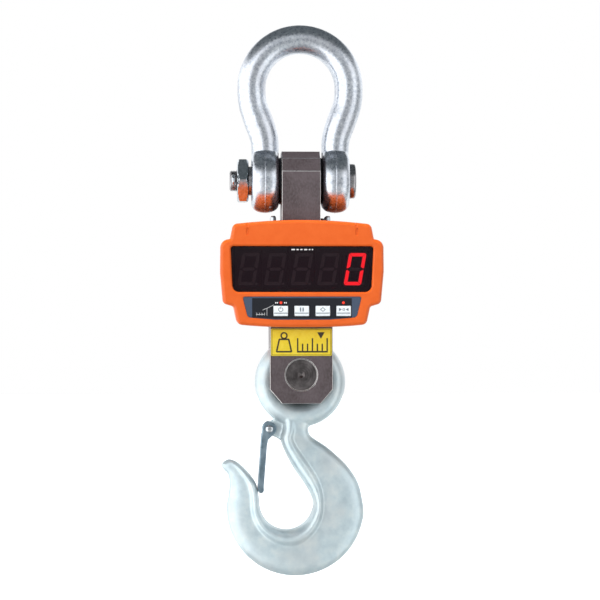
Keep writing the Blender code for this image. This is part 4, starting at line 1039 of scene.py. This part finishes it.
def dress_frame():
    """Every CAD node still shown gets the finish of its slot."""
    for name, obj in frame["nodes"].items():
        if obj.hide_render:
            continue
        obj.data.materials.clear()
        obj.data.materials.append(SLOT_FINISH[SLOTS[name]])


# ---- Studio

# Softboxes round the object: from and to an angle (0 is the camera's side, - is left), edge and brightness.
LIGHT_BANDS = [(-116, -17, 5, 1.5), (32, 68, 4, 1.0), (108, 181, 6, 0.7), (-181, -117, 3, 0.65)]
# What is round them, from straight below (0) to straight above (1): place and colour.
BASE_LIGHT = {0.0: (0.30, 0.33, 0.35), 0.12: (0.52, 0.55, 0.56), 0.25: (0.74, 0.77, 0.76), 0.46: (0.42, 0.44,
    0.45), 0.54: (0.46, 0.48, 0.49), 0.62: (0.74, 0.76, 0.77), 0.70: (0.74, 0.76, 0.77), 0.80: (0.14, 0.16, 0.17)}
SOFTBOX_FOOT, SOFTBOX_TOP = -0.66, 0.5  # sines of the softboxes' lowest and highest angle
FLOOR_Z, FLOOR_HALF = -720, 6  # its height in millimetres and its reach in metres


def band(tree, value, low, high, edge):
    """One between two numbers, with soft edges."""
    up = add(tree, "ShaderNodeMapRange", {"Value": value, "From Min": low - edge, "From Max": low + edge},
        interpolation_type="SMOOTHSTEP")
    down = add(tree, "ShaderNodeMapRange", {"Value": value, "From Min": high + edge, "From Max": high - edge},
        interpolation_type="SMOOTHSTEP")
    return add(tree, "ShaderNodeMath", {0: up.outputs[0], 1: down.outputs[0]}, operation="MULTIPLY").outputs[0]


def make_studio():
    """A white backdrop, a wide soft light on the left, a smaller one on the right and a dark ceiling."""
    world = bpy.data.worlds.new("studio")
    bpy.context.scene.world = world
    world.use_nodes = True
    tree = world.node_tree
    tree.nodes.clear()
    direction = add(tree, "ShaderNodeTexCoord").outputs["Generated"]
    split = add(tree, "ShaderNodeSeparateXYZ", {0: direction})
    ahead = add(tree, "ShaderNodeMath", {0: split.outputs["Y"], 1: -1.0}, operation="MULTIPLY").outputs[0]
    angle = add(tree, "ShaderNodeMath", {0: split.outputs["X"], 1: ahead}, operation="ARCTAN2").outputs[0]
    height = split.outputs["Z"]
    lit_height = band(tree, height, SOFTBOX_FOOT, SOFTBOX_TOP, 0.06)
    total = None
    for low, high, edge, level in LIGHT_BANDS:
        share = band(tree, angle, math.radians(low), math.radians(high), math.radians(edge))
        part = add(tree, "ShaderNodeMath", {0: share, 1: level}, operation="MULTIPLY").outputs[0]
        total = part if total is None else add(tree, "ShaderNodeMath", {0: total, 1: part},
            operation="ADD").outputs[0]
    lamps = add(tree, "ShaderNodeMath", {0: total, 1: lit_height}, operation="MULTIPLY").outputs[0]
    base = add(tree, "ShaderNodeValToRGB", {"Fac": add(tree, "ShaderNodeMapRange", {"Value": height,
        "From Min": -1.0, "From Max": 1.0}).outputs[0]})
    stops = base.color_ramp.elements
    for _ in range(len(BASE_LIGHT) - 2):
        stops.new(0.5)
    for stop, (position, shade) in zip(stops, BASE_LIGHT.items()):
        stop.position, stop.color = position, (*shade, 1)
    rgb = add(tree, "ShaderNodeCombineColor", {0: lamps, 1: lamps, 2: lamps}).outputs[0]
    whole = add(tree, "ShaderNodeVectorMath", {0: base.outputs[0], 1: rgb}, operation="ADD").outputs[0]
    seen = add(tree, "ShaderNodeLightPath").outputs["Is Camera Ray"]
    colour = add(tree, "ShaderNodeMix", {"Factor": seen, 6: whole, 7: (1.0, 1.0, 1.0, 1.0)}, data_type="RGBA")
    glow = add(tree, "ShaderNodeBackground", {"Color": colour.outputs[2], "Strength": 1.0})
    add(tree, "ShaderNodeOutputWorld", {"Surface": glow.outputs[0]})

    lamp = bpy.data.lights.new("overhead", "AREA")
    lamp.shape, lamp.size, lamp.energy = "DISK", 1.0, 26.0
    overhead = bpy.data.objects.new("overhead", lamp)
    overhead.location = (-0.15, -0.3, 1.1)
    overhead.rotation_euler = Vector((0.15, 0.3, -1.35)).to_track_quat("-Z", "Y").to_euler()
    overhead.visible_camera = overhead.visible_glossy = False
    bpy.context.scene.collection.objects.link(overhead)

    side = np.linspace(-FLOOR_HALF, FLOOR_HALF, 13)
    grid = np.stack([*np.meshgrid(side, side, indexing="ij"), np.full((13, 13), FLOOR_Z * MM)], axis=-1)
    floor_mesh = bpy.data.meshes.new("floor")
    points, faces = skin(grid, around=False, ends=False)
    floor_mesh.from_pydata(points, [], faces)
    floor = bpy.data.objects.new("floor", floor_mesh)
    bpy.context.scene.collection.objects.link(floor)
    paper = bpy.data.materials.new("white_paper")
    paper.use_nodes = True
    sheet = paper.node_tree.nodes["Principled BSDF"]
    sheet.inputs["Base Color"].default_value = (0.9, 0.9, 0.9, 1)
    sheet.inputs["Emission Color"].default_value = (1, 1, 1, 1)
    sheet.inputs["Emission Strength"].default_value = 1.0
    floor_mesh.materials.append(paper)
    floor.visible_diffuse = floor.visible_glossy = floor.visible_shadow = False


def make_camera():
    """A long lens a little to the left of the middle, level with it."""
    distance, turn = 2.2, math.radians(2.5)
    aim = Vector((0, 0, -0.2956))
    data = bpy.data.cameras.new("camera")
    data.lens, data.sensor_width = 110.0, 36.0
    camera = bpy.data.objects.new("camera", data)
    camera.location = aim + Vector((-math.sin(turn), -math.cos(turn), 0)) * distance
    camera.rotation_euler = (aim - camera.location).to_track_quat("-Z", "Y").to_euler()
    bpy.context.scene.collection.objects.link(camera)
    bpy.context.scene.camera = camera
    bpy.context.scene.view_settings.view_transform = "Standard"


for make in (make_bow, make_bolt, make_nut, make_split_pin, make_spacers, make_bar, make_pin, make_label,
        make_hook, make_latch, make_latch_pin, make_spring, make_front_shell, make_rear_shell, make_battery_cover,
        make_screws, make_charge_cap, make_seals, make_digits, make_window, make_overlay, make_keys, make_lamps,
        dress_frame, make_studio, make_camera):
    make()
